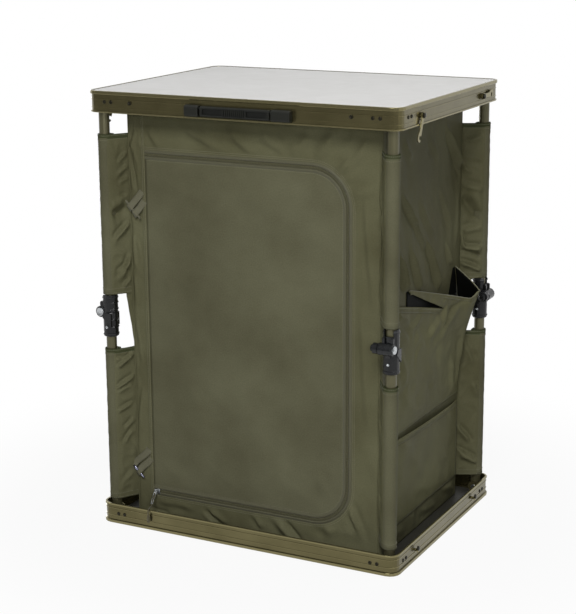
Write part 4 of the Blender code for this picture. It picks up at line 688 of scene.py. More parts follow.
# zip: two ridged tapes, a coil between them on a strip of tape, and sewn lines; its bands are (distance, height)
zipParts = {"wallTape": [(5.2, -0.6), (5.4, 0.5), (6.3, 1.3), (7.6, 1.5), (8.8, 1.1), (9.8, 0.5), (10.6, 0.1),
                         (10.8, -0.5)],
            "doorTape": [(-6.2, -0.5), (-6.0, 0.15), (-5.0, 0.5), (-3.8, 1.1), (-2.4, 1.4), (-1.2, 1.1), (-0.5, 0.4),
                         (-0.3, -0.6)],
            "ground": [(-0.6, -0.9), (0.4, -0.2), (5.2, -0.2), (6.0, -0.9)],
            "tooth": ((-0.6, 1.9, 0.75), (0.7, 1.9, 0.8), (1.15, 1.3, 0.45)),  # height, half width, half thickness
            "toothPitch": 1.2, "toothShift": 0.7, "middle": 2.5, "wallStitch": (12.4, 15.6), "doorStitch": (-7.6,)}


def sweepDoor(name, profile):
    # a band that follows the door's round edge, from a profile of (distance outside it, height)
    line = doorLoop(0, 0)
    verts, uvs = [], []
    run = 0.0
    for i, (x, z, nx, nz) in enumerate(line):
        if i:
            run += math.hypot(x - line[i - 1][0], z - line[i - 1][1])
        for grow, proud in profile:
            verts.append(frontPoint(x + nx * grow, z + nz * grow, proud))
            uvs.append((run * mm, grow * mm))
    piece = makePiece(name, verts, gridFaces(len(line), len(profile)), zipTape, uvs)
    if piece.data.polygons[len(profile) // 2].normal.y > 0:
        piece.data.flip_normals()
    return piece


def doorEdgeLine(grow):
    return [(frontPoint(x + nx * grow, z + nz * grow, 0.1), Vector((0, -1, 0))) for x, z, nx, nz in doorLoop(0, 0)]


def makeCoil():
    # one small block per tooth, in turn on the left and the right of the zip's middle
    line = doorLoop(zipParts["middle"], 0, 1.0)
    verts, faces = [], []
    due, travelled, left = 0.0, 0.0, True
    for (x, z, nx, nz), (x2, z2, _, _) in zip(line, line[1:]):
        step = math.hypot(x2 - x, z2 - z)
        if travelled + step >= due:
            along = Vector((x2 - x, 0, z2 - z)).normalized()
            across = Vector((nx, 0, nz))
            shift = zipParts["toothShift"] if left else -zipParts["toothShift"]
            centre = at(x + nx * shift, door["face"] - 0.1, z + nz * shift)
            n = len(verts)
            for rise, grow, thick in zipParts["tooth"]:
                for a, b in ((-1, -1), (1, -1), (1, 1), (-1, 1)):
                    verts.append(centre + across * a * grow * mm + along * b * thick * mm + Vector((0, -rise * mm, 0)))
            for level in (n, n + 4):
                for k in range(4):
                    after = (k + 1) % 4
                    faces.append((level + k, level + after, level + 4 + after, level + 4 + k))
            faces.append((n + 8, n + 9, n + 10, n + 11))
            due += zipParts["toothPitch"]
            left = not left
        travelled += step
    return makePiece("zipCoil", verts, faces, zipCoil, None, False)


carried(sweepDoor("zipTapeWall", zipParts["wallTape"]))
carried(sweepDoor("zipTapeDoor", zipParts["doorTape"]), "door")
coil = carried(makeCoil())
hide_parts("door_zip")
carried(sweepDoor("zipGround", zipParts["ground"]))
carried(stitches("zipSewingWall", [doorEdgeLine(g) for g in zipParts["wallStitch"]]))
carried(stitches("zipSewingDoor", [doorEdgeLine(g) for g in zipParts["doorStitch"]]), "door")

# hinge seam: a flat felled seam with two sewn lines
seam = {"profile": [(80.5, -0.3), (81.2, 0.6), (82.4, 0.9), (86.4, 0.9), (87.4, 0.6), (87.8, -0.3)],
        "low": 50, "high": 792, "rows": 190, "sewing": (82.6, 86.2), "sewnFrom": 52, "sewnSteps": 184}
seamVerts, seamUvs = [], []
for row in range(seam["rows"]):
    z = seam["low"] + (seam["high"] - seam["low"]) * row / (seam["rows"] - 1)
    for x, proud in seam["profile"]:
        seamVerts.append(frontPoint(x + 0.5 * waves(0, z, 60, 3.3), z, proud))
        seamUvs.append((x * mm, z * mm))
carried(makePiece("hingeSeam", seamVerts, gridFaces(seam["rows"], len(seam["profile"])), oxford, seamUvs))
seamLines = [[(frontPoint(x, seam["sewnFrom"] + k * 4, 1.0), Vector((0, -1, 0))) for k in range(seam["sewnSteps"])]
             for x in seam["sewing"]]
carried(stitches("hingeSeamSewing", seamLines))

# piped welts down the two front corners
welt = {"radius": 1.5, "y": 48.6, "heights": range(12, 796, 8), "cornerWeltRight": 545.2, "cornerWeltLeft": 54.8}
for name in ("cornerWeltRight", "cornerWeltLeft"):
    line = [at(welt[name] + 0.4 * waves(0, z, 30, 1.1), welt["y"] + 0.4 * waves(0, z, 26, 5.1), z)
            for z in welt["heights"]]
    carried(tube(name, line, welt["radius"], oxford, 8))
print("door and zip made")


# leg sleeves, each sewn round its tube and drawn to a seam on the side of the cabinet
legs = {"fl": (22, 22), "fr": (578, 22), "br": (578, 438), "bl": (22, 438)}
cabinetCorners = {"fl": (54.6, 50.6), "fr": (545.4, 50.6), "br": (545.4, 409.4), "bl": (54.6, 409.4)}
sleeve = {"radius": 12.0, "seamReach": 16.0, "hem": 13, "lower": (44, 334), "upper": (436, 727), "cloth": 1.1,
          "sewnIn": 2.6, "sides": 36, "rings": 56, "around": 0.081}
flap = {"seam": 15.5, "start": -2.0, "touch": 3.8, "slope": 0.318, "cloth": 1.2, "rows": 100, "columns": 22,
        "across": 0.047, "tailRows": 20, "tails": {"fl": (13.8, 101), "br": (26, 16)}}
facing = {"fl": -1, "fr": 1, "br": 1, "bl": 1}  # which side of each leg the flap lies on
flapFolds = {  # distance from the seam and height, on each flap's outer face
    ("fl", "upper"): [(22, 691, 7, 677, 3, 2.0), (23, 667, 6, 657, 3, 1.8), (22, 646, 7, 639, 3, 1.8),
                      (21, 615, 8, 610, 3, 1.6), (19, 595, -7, 582, 9, -4.0), (21, 564, -3, 536, 4, 3.4),
                      (25, 506, 5, 467, 4, 2.8), (21, 492, 0, 475, 3, 2.0), (23, 460, 8, 448, 3, 2.2)],
    ("fl", "lower"): [(25, 324, -8, 300, 3, 3.4), (23, 334, -16, 326, 3, 1.8), (19, 315, -12, 314, 3, 1.4),
                      (20, 278, -13, 258, 3, 3.0), (15, 261, -11, 248, 3, 1.4), (18, 226, -18, 214, 2.6, 2.6),
                      (19, 195, 3, 181, 3, 2.4), (16, 172, 1, 152, 3, 1.8), (14, 93, -12, 65, 5, 1.4)],
    ("fr", "upper"): [(2, 590, 24, 690, 5, 1.2), (3, 470, 24, 540, 5, 1.0)],
    ("fr", "lower"): [(2, 90, 24, 190, 5, 1.2), (3, 230, 24, 310, 5, 1.0)],
    ("br", "upper"): [(30, 526, 20, 496, 3, 3.6), (20, 496, -14, 492, 4, 4.0), (28, 466, -14, 448, 4, 3.6),
                      (22, 489, -14, 475, 4, -2.6), (21, 612, -9, 601, 5, 2.6), (24, 584, -10, 553, 10, -4.0),
                      (23, 523, -9, 533, 5, 2.0), (19, 695, -8, 703, 4, 2.0), (25, 648, 10, 636, 4, 1.6)],
    ("br", "lower"): [(26, 98, -3, 79, 4, 3.0), (20, 88, -14, 68, 4, 3.2), (27, 145, 6, 113, 4, 2.4),
                      (0, 233, -14, 201, 6, 1.8), (19, 326, 1, 273, 5, 1.6)],
    ("bl", "upper"): [(2, 600, 24, 690, 5, 1.2), (3, 480, 24, 560, 5, 1.0)],
    ("bl", "lower"): [(2, 100, 24, 190, 5, 1.2), (3, 230, 24, 310, 5, 1.0)],
}


def legRun(corner):
    # from a leg to the cabinet's corner: the length and the direction
    (lx, ly), (cx, cy) = legs[corner], cabinetCorners[corner]
    length = math.hypot(cx - lx, cy - ly)
    return length, Vector(((cx - lx) / length, (cy - ly) / length))


def makeSleeve(corner, part):
    # a tube of cloth that narrows to a seam on the side of the cabinet
    (lx, ly), (cx, cy) = legs[corner], cabinetCorners[corner]
    heading = math.atan2(cy - ly, cx - lx)
    low, high = sleeve[part]
    hem, sides, count = sleeve["hem"], sleeve["sides"], sleeve["rings"]
    tangent = math.acos(sleeve["radius"] / sleeve["seamReach"])
    seed = 40 + 7 * corners.index(corner) + (3 if part == "upper" else 0)
    heights = [low, low + hem * 0.5, low + hem - 0.6, low + hem]
    heights += [low + hem + (high - low - 2 * hem) * i / count for i in range(1, count)]
    heights += [high - hem, high - hem + 0.6, high - hem * 0.5, high]
    verts, uvs = [], []
    for z in heights:
        inHem = z - low < hem - 0.3 or high - z < hem - 0.3
        for k in range(sides):
            turn = 2 * math.pi * k / sides
            off = abs((turn + math.pi) % (2 * math.pi) - math.pi)
            r = sleeve["radius"] / max(math.cos(tangent - off), 0.2) if off < tangent else sleeve["radius"]
            r = min(r, sleeve["seamReach"])
            rough = 0.4 * creases(turn * 14 + z * 0.5, z, 24, seed) + 0.3 * waves(turn * 12, z, 12, seed + 1)
            r += 0.5 if inHem else max(-0.6, min(0.6, rough))
            angle = heading + turn
            verts.append(at(lx + r * math.cos(angle), ly + r * math.sin(angle), z))
            uvs.append((turn * sleeve["radius"] * mm, z * mm))
    piece = makePiece("sleeve_" + corner + "_" + part, verts, gridFaces(len(heights), sides, True), oxfordFlat, uvs)
    return hemmed(thicken(piece, sleeve["cloth"]), high)


def hemmed(piece, top):
    # the top hem is bound in darker cloth
    piece.data.materials.append(binding)
    for face in piece.data.polygons:
        if face.center.z > (top - 8.5) * mm:
            face.material_index = 1
    return piece


def hemRows(part, lastDown):
    # heights of the two sewn lines in each hem
    (low, high), edge, hem = sleeve[part], sleeve["sewnIn"], sleeve["hem"]
    return low + edge, low + hem - 2.4, high - edge, high - hem + lastDown


def sleeveSewing(corner, part):
    lx, ly = legs[corner]
    run = legRun(corner)[1]
    heading, gap = math.atan2(run.y, run.x), 0.9  # the sewing leaves a gap at the seam, in radians
    lines = []
    for z in hemRows(part, 2.4):
        turns = [heading + gap + (2 * math.pi - 2 * gap) * k / 40 for k in range(41)]
        ways = [Vector((math.cos(turn), math.sin(turn), 0)) for turn in turns]
        lines.append([(at(lx, ly, z) + out * (sleeve["radius"] + 0.6) * mm, out) for out in ways])
    return stitches("sleeveSewing_" + corner + "_" + part, lines)


# flaps of cloth from the front of each sleeve to the corner of the cabinet
def flapPoint(corner, part, along, z, proud=0.0):
    lx, ly = legs[corner]
    length, run = legRun(corner)
    out = Vector((-run.y, run.x)) * facing[corner]
    low, high = sleeve[part]
    seed = 60 + 5 * corners.index(corner) + (2 if part == "upper" else 0)
    gain = foldGain["rearFlap" if corner == "br" else "flap"]
    swell = gain * foldSwell(along - flap["seam"], z, flapFolds[corner, part])
    swell += 1.7 * creases(along + z * 0.3, z, 22, seed) + 0.6 * waves(along, z, 14, seed)
    if z > low - 1 and (z - low < sleeve["hem"] or high - z < sleeve["hem"]):
        swell = 0.3 * swell + 0.4
    swell *= ease((along - 2) / 9) * ease((length - along) / 6)
    past = max(0.0, flap["touch"] - along)  # past the sleeve's front the flap dips into it
    swell += (length - max(along, flap["touch"])) * flap["slope"] - 0.1 * past - 0.06 * past ** 2 + proud
    return at(lx + run.x * along + out.x * swell, ly + run.y * along + out.y * swell, z), Vector((out.x, out.y, 0))


def makeFlap(corner, part):
    length = legRun(corner)[0]
    low, high = sleeve[part]
    rows, columns = flap["rows"], flap["columns"]
    edge = [(low + (high - low) * row / (rows - 1), flap["start"]) for row in range(rows)]
    if part == "upper" and corner in flap["tails"]:  # some flaps run down the cabinet's corner in a tail
        wide, drop = flap["tails"][corner]
        shares = [row / flap["tailRows"] for row in range(flap["tailRows"], -1, -1)]
        edge = [(low - 1 - drop * share, length - wide * (1 - share) - 0.6) for share in shares] + edge
    verts, uvs = [], []
    for z, start in edge:
        for column in range(columns):
            along = start + (length - start) * column / (columns - 1)
            verts.append(flapPoint(corner, part, along, z)[0])
            uvs.append((along * mm, z * mm))
    piece = makePiece("flap_" + corner + "_" + part, verts, gridFaces(len(edge), columns), oxford, uvs)
    if facing[corner] > 0:
        piece.data.flip_normals()
    return hemmed(thicken(piece, flap["cloth"]), high)


def flapSewing(corner, part):
    lines = [[flapPoint(corner, part, 2 + k, z, 0.1) for k in range(40)] for z in hemRows(part, 4.4)]
    return stitches("flapSewing_" + corner + "_" + part, lines)


for corner in corners:
    for part in ("lower", "upper"):
        body, tall = corner + "_" + part, (sleeve[part][1] - sleeve[part][0]) * mm
        cloth = carried(makeSleeve(corner, part), body, crumples=False)
        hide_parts(body + "_sleeve")
        carried(sleeveSewing(corner, part), body, crumples=False)
        gusset = carried(makeFlap(corner, part))
        carried(flapSewing(corner, part))
print("sleeves and flaps made")


# pockets on the right wall
pocketLong = pocket["back"] - pocket["front"]
fold = {"tip": 161, "end": 297.7, "tipHeight": 462, "endHeight": 404, "hemHeight": 450, "apart": 1.6}
foldTip, foldEnd = ((fold[place] - pocket["front"]) / pocketLong for place in ("tip", "end"))
pocketFolds = [(88, 432, 160, 388, 5, -4.0), (104, 438, 150, 413, 6, 3.4), (207, 406, 160, 398, 5, 2.4),
               (305, 402, 296, 372, 6, 3.2), (292, 388, 240, 362, 7, 2.4), (356, 392, 284, 345, 8, 2.6),
               (390, 330, 398, 230, 8, 2.4), (200, 400, 236, 340, 9, -2.2), (240, 300, 300, 240, 12, 2.0),
               (130, 300, 190, 230, 12, 1.8), (352, 300, 372, 226, 8, 2.2), (120, 370, 150, 300, 9, 1.8),
               (330, 440, 290, 414, 6, 2.0), (380, 408, 330, 396, 5, -1.8)]


lip = {"leaves": 0.22, "drop": 62, "cornerRise": 18, "bulge": 30, "cornerBulge": 16}


def lipAt(run):
    # height and swell of the lip, which leaves the wall, hangs down towards the back and peaks at the back corner
    share = max(0.0, (run - lip["leaves"]) / (1 - lip["leaves"]))
    return (pocket["top"] - lip["drop"] * share + lip["cornerRise"] * ease((run - 0.92) / 0.08),
            lip["bulge"] * share ** 1.4 + lip["cornerBulge"] * ease((run - 0.86) / 0.14))


def deepPoint(run, z, proud=0.0):
    height, bulge = lipAt(run)
    rise = (z - pocket["foot"]) / (height - pocket["foot"])
    back = 4 * math.sin(math.pi * rise) - 12 * max(0, rise) ** 6
    y = pocket["front"] + (pocketLong + back * run ** 4) * run
    swell = bulge * max(0, rise) ** 2.2 + 4 * math.sin(math.pi * min(1, rise)) * math.sin(math.pi * run)
    slack = foldGain["pocket"] * foldSwell(y, z, pocketFolds)
    slack += 1.6 * waves(y, z, 44, 71.0) + 1.8 * creases(y, z, 34, 73.0)
    swell += slack * ease(run / 0.05) * ease((1 - run) / 0.04) * ease(rise / 0.1) * ease((1.02 - rise) / 0.08)
    return at(pocket["wallFace"] + max(0.2, swell) + proud, y, z)


def hemAt(run):
    # top of the front layer up to the fold, and the same line run on below the lip
    y = pocket["front"] + pocketLong * run
    if y < fold["end"]:
        return fold["hemHeight"] + (fold["endHeight"] - fold["hemHeight"]) * run / foldEnd
    return fold["endHeight"] - (y - fold["end"]) * 0.25


def bandAt(run):
    # lower edge of the band over the fold
    if run < foldEnd:
        return fold["tipHeight"] + (fold["endHeight"] - fold["tipHeight"]) * (run - foldTip) / (foldEnd - foldTip)
    return hemAt(run)


def gussetBack(rise):
    # where the gusset meets the wall: it leans forward towards its top
    return pocket["back"] - pocket["gussetLean"] * rise ** 3


def gussetPoint(share, rise):
    corner = deepPoint(1.0, pocket["foot"] + (lipAt(1.0)[0] - pocket["foot"]) * rise)
    wallEdge = at(pocket["wallFace"], gussetBack(rise) + 3.5,
                  pocket["foot"] + (pocket["top"] - pocket["foot"]) * rise)
    slack = 5 * math.sin(math.pi * share) * rise ** 2 + 0.8 * waves(share * 40, rise * 240, 16, 77.0) * rise
    point = corner.lerp(wallEdge, share)
    point.y += slack * mm
    return point


def makeDeepPocket():
    # a front layer, the band over its fold, and a gusset at its back corner, with a near-black lining inside that is
    # painted shade for the dark inside of the pocket
    beforeTip = [foldTip * i / 16 for i in range(16)]
    alongFold = [foldTip + (foldEnd - foldTip) * i / 32 for i in range(32)]
    afterFold = [foldEnd + (1 - foldEnd) * i / 30 for i in range(31)]
    runs, lipRuns = beforeTip + alongFold + afterFold, alongFold + afterFold
    frontRows, bandRows, gussetRows, gussetColumns = 41, 13, 37, 13
    verts, uvs = [], []
    for row in range(frontRows):
        for run in runs:
            z = pocket["foot"] + (hemAt(run) - pocket["foot"]) * row / (frontRows - 1)
            verts.append(deepPoint(run, z))
            uvs.append((run * pocketLong * mm, z * mm))
    faces = gridFaces(frontRows, len(runs))
    start = len(verts)
    for row in range(bandRows):
        for run in lipRuns:
            z = bandAt(run) + (lipAt(run)[0] - bandAt(run)) * row / (bandRows - 1)
            verts.append(deepPoint(run, z, fold["apart"] * ease((foldEnd - run) / 0.05)))
            uvs.append((run * pocketLong * mm, z * mm))
    faces += gridFaces(bandRows, len(lipRuns), False, start)
    start = len(verts)
    for row in range(gussetRows):
        for column in range(gussetColumns):
            verts.append(gussetPoint(column / (gussetColumns - 1), row / (gussetRows - 1)))
            uvs.append((pocketLong * mm + column * 0.004, 0.214 + row * 0.0068))
    faces += gridFaces(gussetRows, gussetColumns, False, start)
    piece = makePiece("deepPocket", verts, faces, oxfordPocketPaintedLight, uvs)
    piece.data.materials.append(paintedShadeLining)
    shape = bmesh.new()
    shape.from_mesh(piece.data)
    bmesh.ops.remove_doubles(shape, verts=shape.verts, dist=0.00002)
    shape.to_mesh(piece.data)
    shape.free()
    return thicken(piece, pocket["cloth"])


def makeHem(name, point, lines):
    # a turned hem along the edge of a pocket: a low band with a round edge
    verts, uvs, faces = [], [], []
    for line, down in lines:
        start = len(verts)
        profile = [(-down, -0.1), (-down, 0.55), (-down * 0.5, 0.7), (-0.6, 0.65), (0.5, 0.1), (0.2, -1.3)]
        for i, (run, z) in enumerate(line):
            sunk = 1.1 * (1 - ease((len(line) - 1 - i) / 12))  # it dies out into the cloth
            for rise, proud in profile:
                verts.append(point(run, z + rise, proud - sunk))
                uvs.append((i * 0.003, rise * mm))
        faces += gridFaces(len(line), len(profile), False, start)
    piece = makePiece(name, verts, faces, oxfordPocketPaintedLight, uvs)
    if piece.data.polygons[2].normal.x < 0:
        piece.data.flip_normals()
    return piece


def deepEdge(low, high, height, count, shift=0.0):
    return [(low + (high - low) * i / count, height(low + (high - low) * i / count) + shift) for i in range(count + 1)]


def lipHeight(run):
    return lipAt(run)[0]


def sewnOn(point, line, proud):
    return [(point(run, z, proud), Vector((1, 0, 0))) for run, z in line]


deepPocket = carried(makeDeepPocket())
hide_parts("deep_pocket")
frontHem = (deepEdge(0.002, foldEnd - 0.01, hemAt, 90), 11)
lipHem = (deepEdge(foldTip + 0.01, 0.985, lipHeight, 90), 7)
carried(makeHem("deepPocketHem", deepPoint, [frontHem, lipHem]))
deepSewing = [sewnOn(deepPoint, deepEdge(0.005, foldEnd - 0.02, hemAt, 120, -9), 0.75),
              sewnOn(deepPoint, deepEdge(0.005, foldEnd - 0.02, hemAt, 120, -2.4), 0.75),
              sewnOn(deepPoint, deepEdge(foldTip + 0.03, 0.985, lipHeight, 120, -5.2), 0.8),
              sewnOn(deepPoint, deepEdge(0.005, 0.995, lambda run: pocket["foot"] + 2.5, 140), 0.2)]
carried(stitches("deepPocketSewing", deepSewing))
bindingLine = [deepPoint(run, z, 0.2) for run, z in deepEdge(foldTip, 1.0, lipHeight, 60, 0.3)]
bindingLine += [gussetPoint(k / 12, 1.0) + Vector((0, 0, 0.3 * mm)) for k in range(1, 13)]
carried(tube("pocketBinding", bindingLine, 0.75, thread, 8))


paintedShadeStrips = [  # strips of painted shade on the wall: z from and to, y from, y to or None for the gusset's edge, and how the front edge leans
    (216, 411, 140, None, 0), (411, 463, 348, None, 0.43), (409, 465, 152, 300, 0)]


def makeWallPaintedShade():
    # painted shade: near-black cloth on the wall inside the pocket, up to the fold and beside the gusset, where the
    # pocket's shade falls
    count = 21
    verts, uvs, faces = [], [], []
    for low, high, first, last, lean in paintedShadeStrips:
        start = len(verts)
        for row in range(count):
            z = low + (high - low) * row / (count - 1)
            rise = (z - pocket["foot"]) / (pocket["top"] - pocket["foot"])
            left, right = first + lean * (z - low), last or gussetBack(rise) + 2.8
            for column in range(count):
                y = left + (right - left) * column / (count - 1)
                edge = pocket["top"] + 2 if y < 160 else lipHeight((y - pocket["front"]) / pocketLong) - 2.5
                verts.append(at(pocket["wallFace"] - (0.9 if last else 0.8), y, min(z, edge) if last else z))
                uvs.append((y * mm, z * mm))
        faces += gridFaces(count, count, False, start)
    return thicken(makePiece("pocketPaintedShade", verts, faces, paintedShadeLining, uvs), 0.4)


carried(makeWallPaintedShade())

slipFolds = [(150, 180, 220, 110, 14, 1.8), (300, 170, 350, 90, 12, 1.8), (200, 90, 270, 60, 10, 1.4),
             (130, 200, 180, 170, 8, 1.6), (350, 190, 390, 150, 7, 1.8)]


def slipPoint(run, z, proud=0.0):
    y = pocket["front"] + pocketLong * run
    rise = (z - pocket["bottom"]) / (slipLip(run) - pocket["bottom"])
    swell = pocket["slipReach"] * max(0, math.sin(math.pi * run)) ** 0.6 * max(0, rise) ** 2.4
    slack = 1.4 * waves(y, z, 60, 81.0) + 1.0 * creases(y, z, 50, 83.0) + foldSwell(y, z, slipFolds)
    swell += slack * ease(run / 0.05) * ease((1 - run) / 0.05) * ease(rise / 0.1) * ease((1 - rise) / 0.1)
    return at(pocket["wallFace"] + max(0.1, swell) + proud, y, z)


def slipLip(run):
    return pocket["slipTop"][0] + (pocket["slipTop"][1] - pocket["slipTop"][0]) * run


def makeSlipPocket():
    rows, columns = 36, 64
    verts, uvs = [], []
    for row in range(rows):
        for column in range(columns):
            run = column / (columns - 1)
            z = pocket["bottom"] + (slipLip(run) - pocket["bottom"]) * row / (rows - 1)
            verts.append(slipPoint(run, z))
            uvs.append((run * pocketLong * mm, z * mm))
    piece = makePiece("slipPocket", verts, gridFaces(rows, columns), oxfordPocketPaintedLight, uvs)
    # painted shade: the inner face takes the near-black lining, as in the deep pocket
    piece.data.materials.append(paintedShadeLining)
    return thicken(piece, pocket["slipCloth"])


slipPocket = carried(makeSlipPocket())
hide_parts("slip_pocket")
carried(makeHem("slipPocketHem", slipPoint, [(deepEdge(0.004, 0.996, slipLip, 90), 10)]))
slipSewing = [sewnOn(slipPoint, deepEdge(0.01, 0.99, slipLip, 120, -8.4), 0.75),
              sewnOn(slipPoint, deepEdge(0.01, 0.99, lambda run: pocket["bottom"] + 2.4, 120), 0.2)]
for side in (0.01, 0.99):
    slipSewing.append([(slipPoint(side, 48 + 3.6 * k, 0.2), Vector((1, 0, 0))) for k in range(42)])
carried(stitches("slipPocketSewing", slipSewing))
print("pockets made")


# shelf: a board in a sewn cloth cover with piped edges
shelf = {"left": 54.2, "right": 545.8, "front": 62, "back": 409.8, "low": 400, "high": 406, "corner": 6}


def roundedRing(inset, z):
    ring, count = [], 10
    x0, x1, y0, y1 = shelf["left"] + inset, shelf["right"] - inset, shelf["front"] + inset, shelf["back"] - inset
    r = shelf["corner"] - inset * 0.5
    for cx, cy, start in ((x1 - r, y0 + r, -90), (x1 - r, y1 - r, 0), (x0 + r, y1 - r, 90), (x0 + r, y0 + r, 180)):
        for k in range(count + 1):
            t = math.radians(start + 90 * k / count)
            ring.append(at(cx + r * math.cos(t), cy + r * math.sin(t), z))
    return ring


rings = [roundedRing(inset, z) for inset, z in (
    (14, shelf["low"] + 0.3), (3, shelf["low"]), (0.6, shelf["low"] + 0.8), (0, shelf["low"] + 3),
    (0.6, shelf["high"] - 0.8), (3, shelf["high"]), (14, shelf["high"] - 0.4), (16, shelf["high"] - 0.4))]
shelfVerts = [p for ring in rings for p in ring]
shelfCover = makePiece("shelfCover", shelfVerts, solidRings(len(rings), len(rings[0])), oxford,
                       [(v.x, v.y) for v in shelfVerts])
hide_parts("shelf")
carried(shelfCover, "shelf", crumples=False)
sewnRing = roundedRing(8, shelf["high"] - 0.2)
shelfSewing = [[(p, Vector((0, 0, 1))) for p in sewnRing + sewnRing[:1]]]
carried(stitches("shelfSewing", shelfSewing), "shelf", crumples=False)
print("shelf made")


# toggles: a webbing loop sewn into the hinge seam, with a slim rod through it
toggles = [  # a bar, and for each strap of its loop the seam's end and the share along the bar
    {"name": "Upper", "bar": ((46, 609), (79, 575)), "straps": (((80.5, 623), 0.40), ((84.5, 606), 0.72)),
     "radius": 1.9, "finish": webbing, "slot": "olive_fabric"},
    {"name": "Lower", "bar": ((37, 118), (71, 83)), "straps": (((80, 138), 0.36), ((84, 121), 0.68)),
     "radius": 2.1, "finish": blueZinc, "slot": "steel", "ferrule": 3.3},
]
strap = {"wide": 12.5, "cloth": 0.9}


def webbingStrip(name, guides):
    # a flat strap through guides of (x, out, z), its width in the wall's plane
    wide = strap["wide"]
    line = smoothLine(guides, 8)
    verts, uvs = [], []
    for i, p in enumerate(line):
        q, r = line[min(i + 1, len(line) - 1)], line[max(i - 1, 0)]
        along = Vector((q.x - r.x, 0, q.z - r.z)).normalized()
        across = Vector((along.z, 0, -along.x)) * wide * 0.5
        for side in (-1, -0.6, 0.6, 1):
            edge = 0.15 if abs(side) == 1 else 0
            verts.append(at(p.x + across.x * side, door["face"] - p.y + edge, p.z + across.z * side))
            uvs.append((side * wide * 0.5 * mm, i * 0.002))
    return thicken(makePiece(name, verts, gridFaces(len(line), 4), webbing, uvs), strap["cloth"])


for t in toggles:
    (ax, az), (cx, cz) = t["bar"]
    for name, ((sx, sz), share) in zip(("", "Under"), t["straps"]):
        bx, bz = ax + (cx - ax) * share, az + (cz - az) * share
        guides = [(sx, 0.9, sz), (sx - 6, 3.0, sz - 8), (bx + 6, 6.0, bz + 8), (bx - 0.5, 9.6, bz - 0.5),
                  (bx - 3.2, 7.0, bz - 3.4), (bx - 1, 4.2, bz - 1)]
        carried(webbingStrip("toggleStrap" + t["name"] + name, guides))
    line = [at(ax + (cx - ax) * k / 8, door["face"] - 6.8 - 0.5 * math.sin(math.pi * k / 8), az + (cz - az) * k / 8)
            for k in range(9)]
    rod = tube("toggleRod" + t["name"], line, t["radius"], t["finish"], 12)
    carried(rod, "base")
    if "ferrule" in t:
        carried(tube("toggleFerrule", line[3:6], t["ferrule"], t["finish"], 14), "base")
print("toggles made")


# small fasteners, each turned from a profile of (radius, height)
face = 2.4  # the rims' own face behind their lips, from the outer planes
levels = {"lid": 786, "base": 19}
fasteners = {
    "rivet": {"profile": [(3.2, 0.0), (3.2, 0.5), (2.8, 1.0), (2.0, 1.4), (1.0, 1.6), (0.4, 1.65)], "sides": 16,
              "places": (37, 50)},
    "lidBolt": {"profile": [(3.4, 0.0), (3.4, 1.6), (2.9, 2.1), (1.9, 2.1), (1.7, 1.2), (0.6, 1.2)], "sides": 12,
                "places": (88.8, 512)},
    "studCap": {"profile": [(4.75, 2.3), (4.75, 4.2), (4.1, 5.0), (2.6, 5.5), (1.0, 5.6)], "sides": 14,
                "places": (90, 370), "levels": {"lid": 783, "base": 22}},
    "kneeScrew": {"profile": [(2.6, 0.0), (2.6, 0.7), (2.1, 1.2), (1.2, 1.25), (1.0, 0.7), (0.3, 0.7)], "sides": 12,
                  "reach": 14.2, "height": 375.5},
}


def addFastener(kind, suffix, centre, out, body, finish=darkZinc):
    form = fasteners[kind]
    piece = lathe("%s_%s" % (kind, suffix), form["profile"], at(*centre), out, finish, form["sides"])
    carried(piece, body, False)


for body, z in levels.items():
    places = []
    for along in fasteners["rivet"]["places"]:
        for x in (along, width - along):
            places += [((x, face, z), (0, -1, 0)), ((x, depth - face, z), (0, 1, 0))]
        for y in (along, depth - along):
            places += [((face, y, z), (-1, 0, 0)), ((width - face, y, z), (1, 0, 0))]
    for index, (centre, out) in enumerate(places):
        addFastener("rivet", "%s_%d" % (body, index), centre, out, body)
left, right = fasteners["lidBolt"]["places"]
boltPlaces = ((left, face, -1), (right, face, -1), (left, depth - face, 1), (right, depth - face, 1))
for index, (x, y, out) in enumerate(boltPlaces):
    addFastener("lidBolt", index, (x, y, levels["lid"]), (0, out, 0), "lid")
near, far = fasteners["studCap"]["places"]
for body, z in fasteners["studCap"]["levels"].items():
    for index, (x, y, out) in enumerate(((width, near, 1), (width, far, 1), (0, near, -1), (0, far, -1))):
        addFastener("studCap", "%s_%d" % (body, index), (x, y, z), (out, 0, 0), body)
for corner in corners:  # clamp screws through each knee socket
    lx, ly = legs[corner]
    for side in (-1, 1):
        centre = (lx, ly + side * fasteners["kneeScrew"]["reach"], fasteners["kneeScrew"]["height"])
        addFastener("kneeScrew", "%s_%d" % (corner, side + 1), centre, (0, side, 0), corner + "_lower", zinc)
print("fasteners made")


# floor, backdrop and light, in metres
studioFloor = {"rings": (0.5, 1.0, 2.0, 4.0), "sides": 48, "fade": (0.42, 0.95), "nearShare": 0.93, "drop": 0.0005}


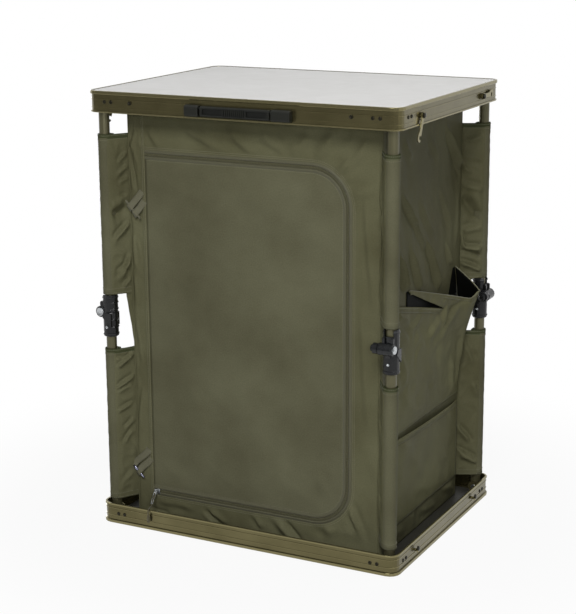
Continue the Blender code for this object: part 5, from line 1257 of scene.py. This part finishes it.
def makeFloor():
    # paint that keeps the soft shadow, shown mostly as plain white to the camera
    material = bpy.data.materials.new("studioFloor")
    material.use_nodes = True
    tree = material.node_tree
    tree.nodes.clear()
    far = addNode(tree, "VectorMath", {"operation": "LENGTH"}, {0: objectPlace(tree)}).outputs["Value"]
    fade = addNode(tree, "MapRange", {"interpolation_type": "SMOOTHSTEP"},
                   {"Value": far, "From Min": studioFloor["fade"][0], "From Max": studioFloor["fade"][1]}).outputs[0]
    rays = addNode(tree, "LightPath").outputs
    seen = greater(tree, greater(tree, rays["Is Camera Ray"], rays["Is Glossy Ray"]), rays["Is Transmission Ray"])
    near = spread(tree, fade, studioFloor["nearShare"], 1.0, 0.0, 1.0)
    share = addNode(tree, "Math", {"operation": "MULTIPLY"}, {0: seen, 1: near})
    paint = addNode(tree, "BsdfDiffuse", {}, {"Color": linear("#c6c6c5")})
    white = addNode(tree, "Emission", {}, {"Color": (1, 1, 1, 1), "Strength": 1.0})
    mixed = addNode(tree, "MixShader", {}, {0: share.outputs[0], 1: paint.outputs[0], 2: white.outputs[0]})
    addNode(tree, "OutputMaterial", {}, {"Surface": mixed.outputs[0]})
    sides = studioFloor["sides"]
    verts = [Vector((0, 0, 0))]
    for r in studioFloor["rings"]:
        verts += circle(Vector((0, 0, 0)), Vector((1, 0, 0)), Vector((0, 1, 0)), r / mm, sides)
    faces = [(0, 1 + k, 1 + (k + 1) % sides) for k in range(sides)]
    faces += [face[::-1] for face in gridFaces(len(studioFloor["rings"]), sides, True, 1)]
    floor = makePiece("studioFloor", verts, faces, material)
    floor.location.z = -studioFloor["drop"]


makeFloor()
lamps = {
    "key": {"place": (0.75, -2.3, 2.35), "size": 0.8, "power": 44},
    "right": {"place": (1.6, -2.5, 1.2), "size": 0.5, "power": 20},
    "left": {"place": (-2.4, -0.9, 1.8), "size": 1.0, "power": 5},
    "back": {"place": (-2.4, 1.7, 0.45), "size": 1.1, "power": 30},
    "top": {"place": (0.6, 0.3, 2.6), "size": 0.9, "power": 15},
}
lampAim = Vector((0, 0, 0.4))
for name, lamp in lamps.items():
    light = bpy.data.lights.new(name, "AREA")
    light.size = lamp["size"]
    light.energy = lamp["power"]
    lampObject = bpy.data.objects.new(name, light)
    lampObject.location = lamp["place"]
    lampObject.rotation_euler = (lampAim - Vector(lamp["place"])).to_track_quat("-Z", "Y").to_euler()
    bpy.context.scene.collection.objects.link(lampObject)
world = bpy.data.worlds.new("studio")
bpy.context.scene.world = world
world.use_nodes = True
tree = world.node_tree
tree.nodes.clear()
rays = addNode(tree, "LightPath").outputs
seen = greater(tree, rays["Is Camera Ray"], rays["Is Transmission Ray"])
around = addNode(tree, "SeparateXYZ", {}, {0: addNode(tree, "TexCoord").outputs["Generated"]})
# what shines back from the walls of the room is dimmer in front of the unit than behind it
behind = addNode(tree, "MapRange", {"interpolation_type": "SMOOTHSTEP"},
                 {"Value": around.outputs[1], "From Min": -0.6, "From Max": 0.2, "To Min": 0.25, "To Max": 1.0})
soft = addNode(tree, "Background", {}, {"Color": linear("#f2f4f6"), "Strength": 0.10})
reflected = addNode(tree, "Background", {}, {"Color": (1, 1, 1, 1), "Strength": behind.outputs[0]})
white = addNode(tree, "Background", {}, {"Color": (1, 1, 1, 1), "Strength": 1.0})
lit = addNode(tree, "MixShader", {}, {0: rays["Is Glossy Ray"], 1: soft.outputs[0], 2: reflected.outputs[0]})
mixed = addNode(tree, "MixShader", {}, {0: seen, 1: lit.outputs[0], 2: white.outputs[0]})
addNode(tree, "OutputWorld", {}, {"Surface": mixed.outputs[0]})
bpy.context.scene.view_settings.view_transform = "Standard"
print("studio made")
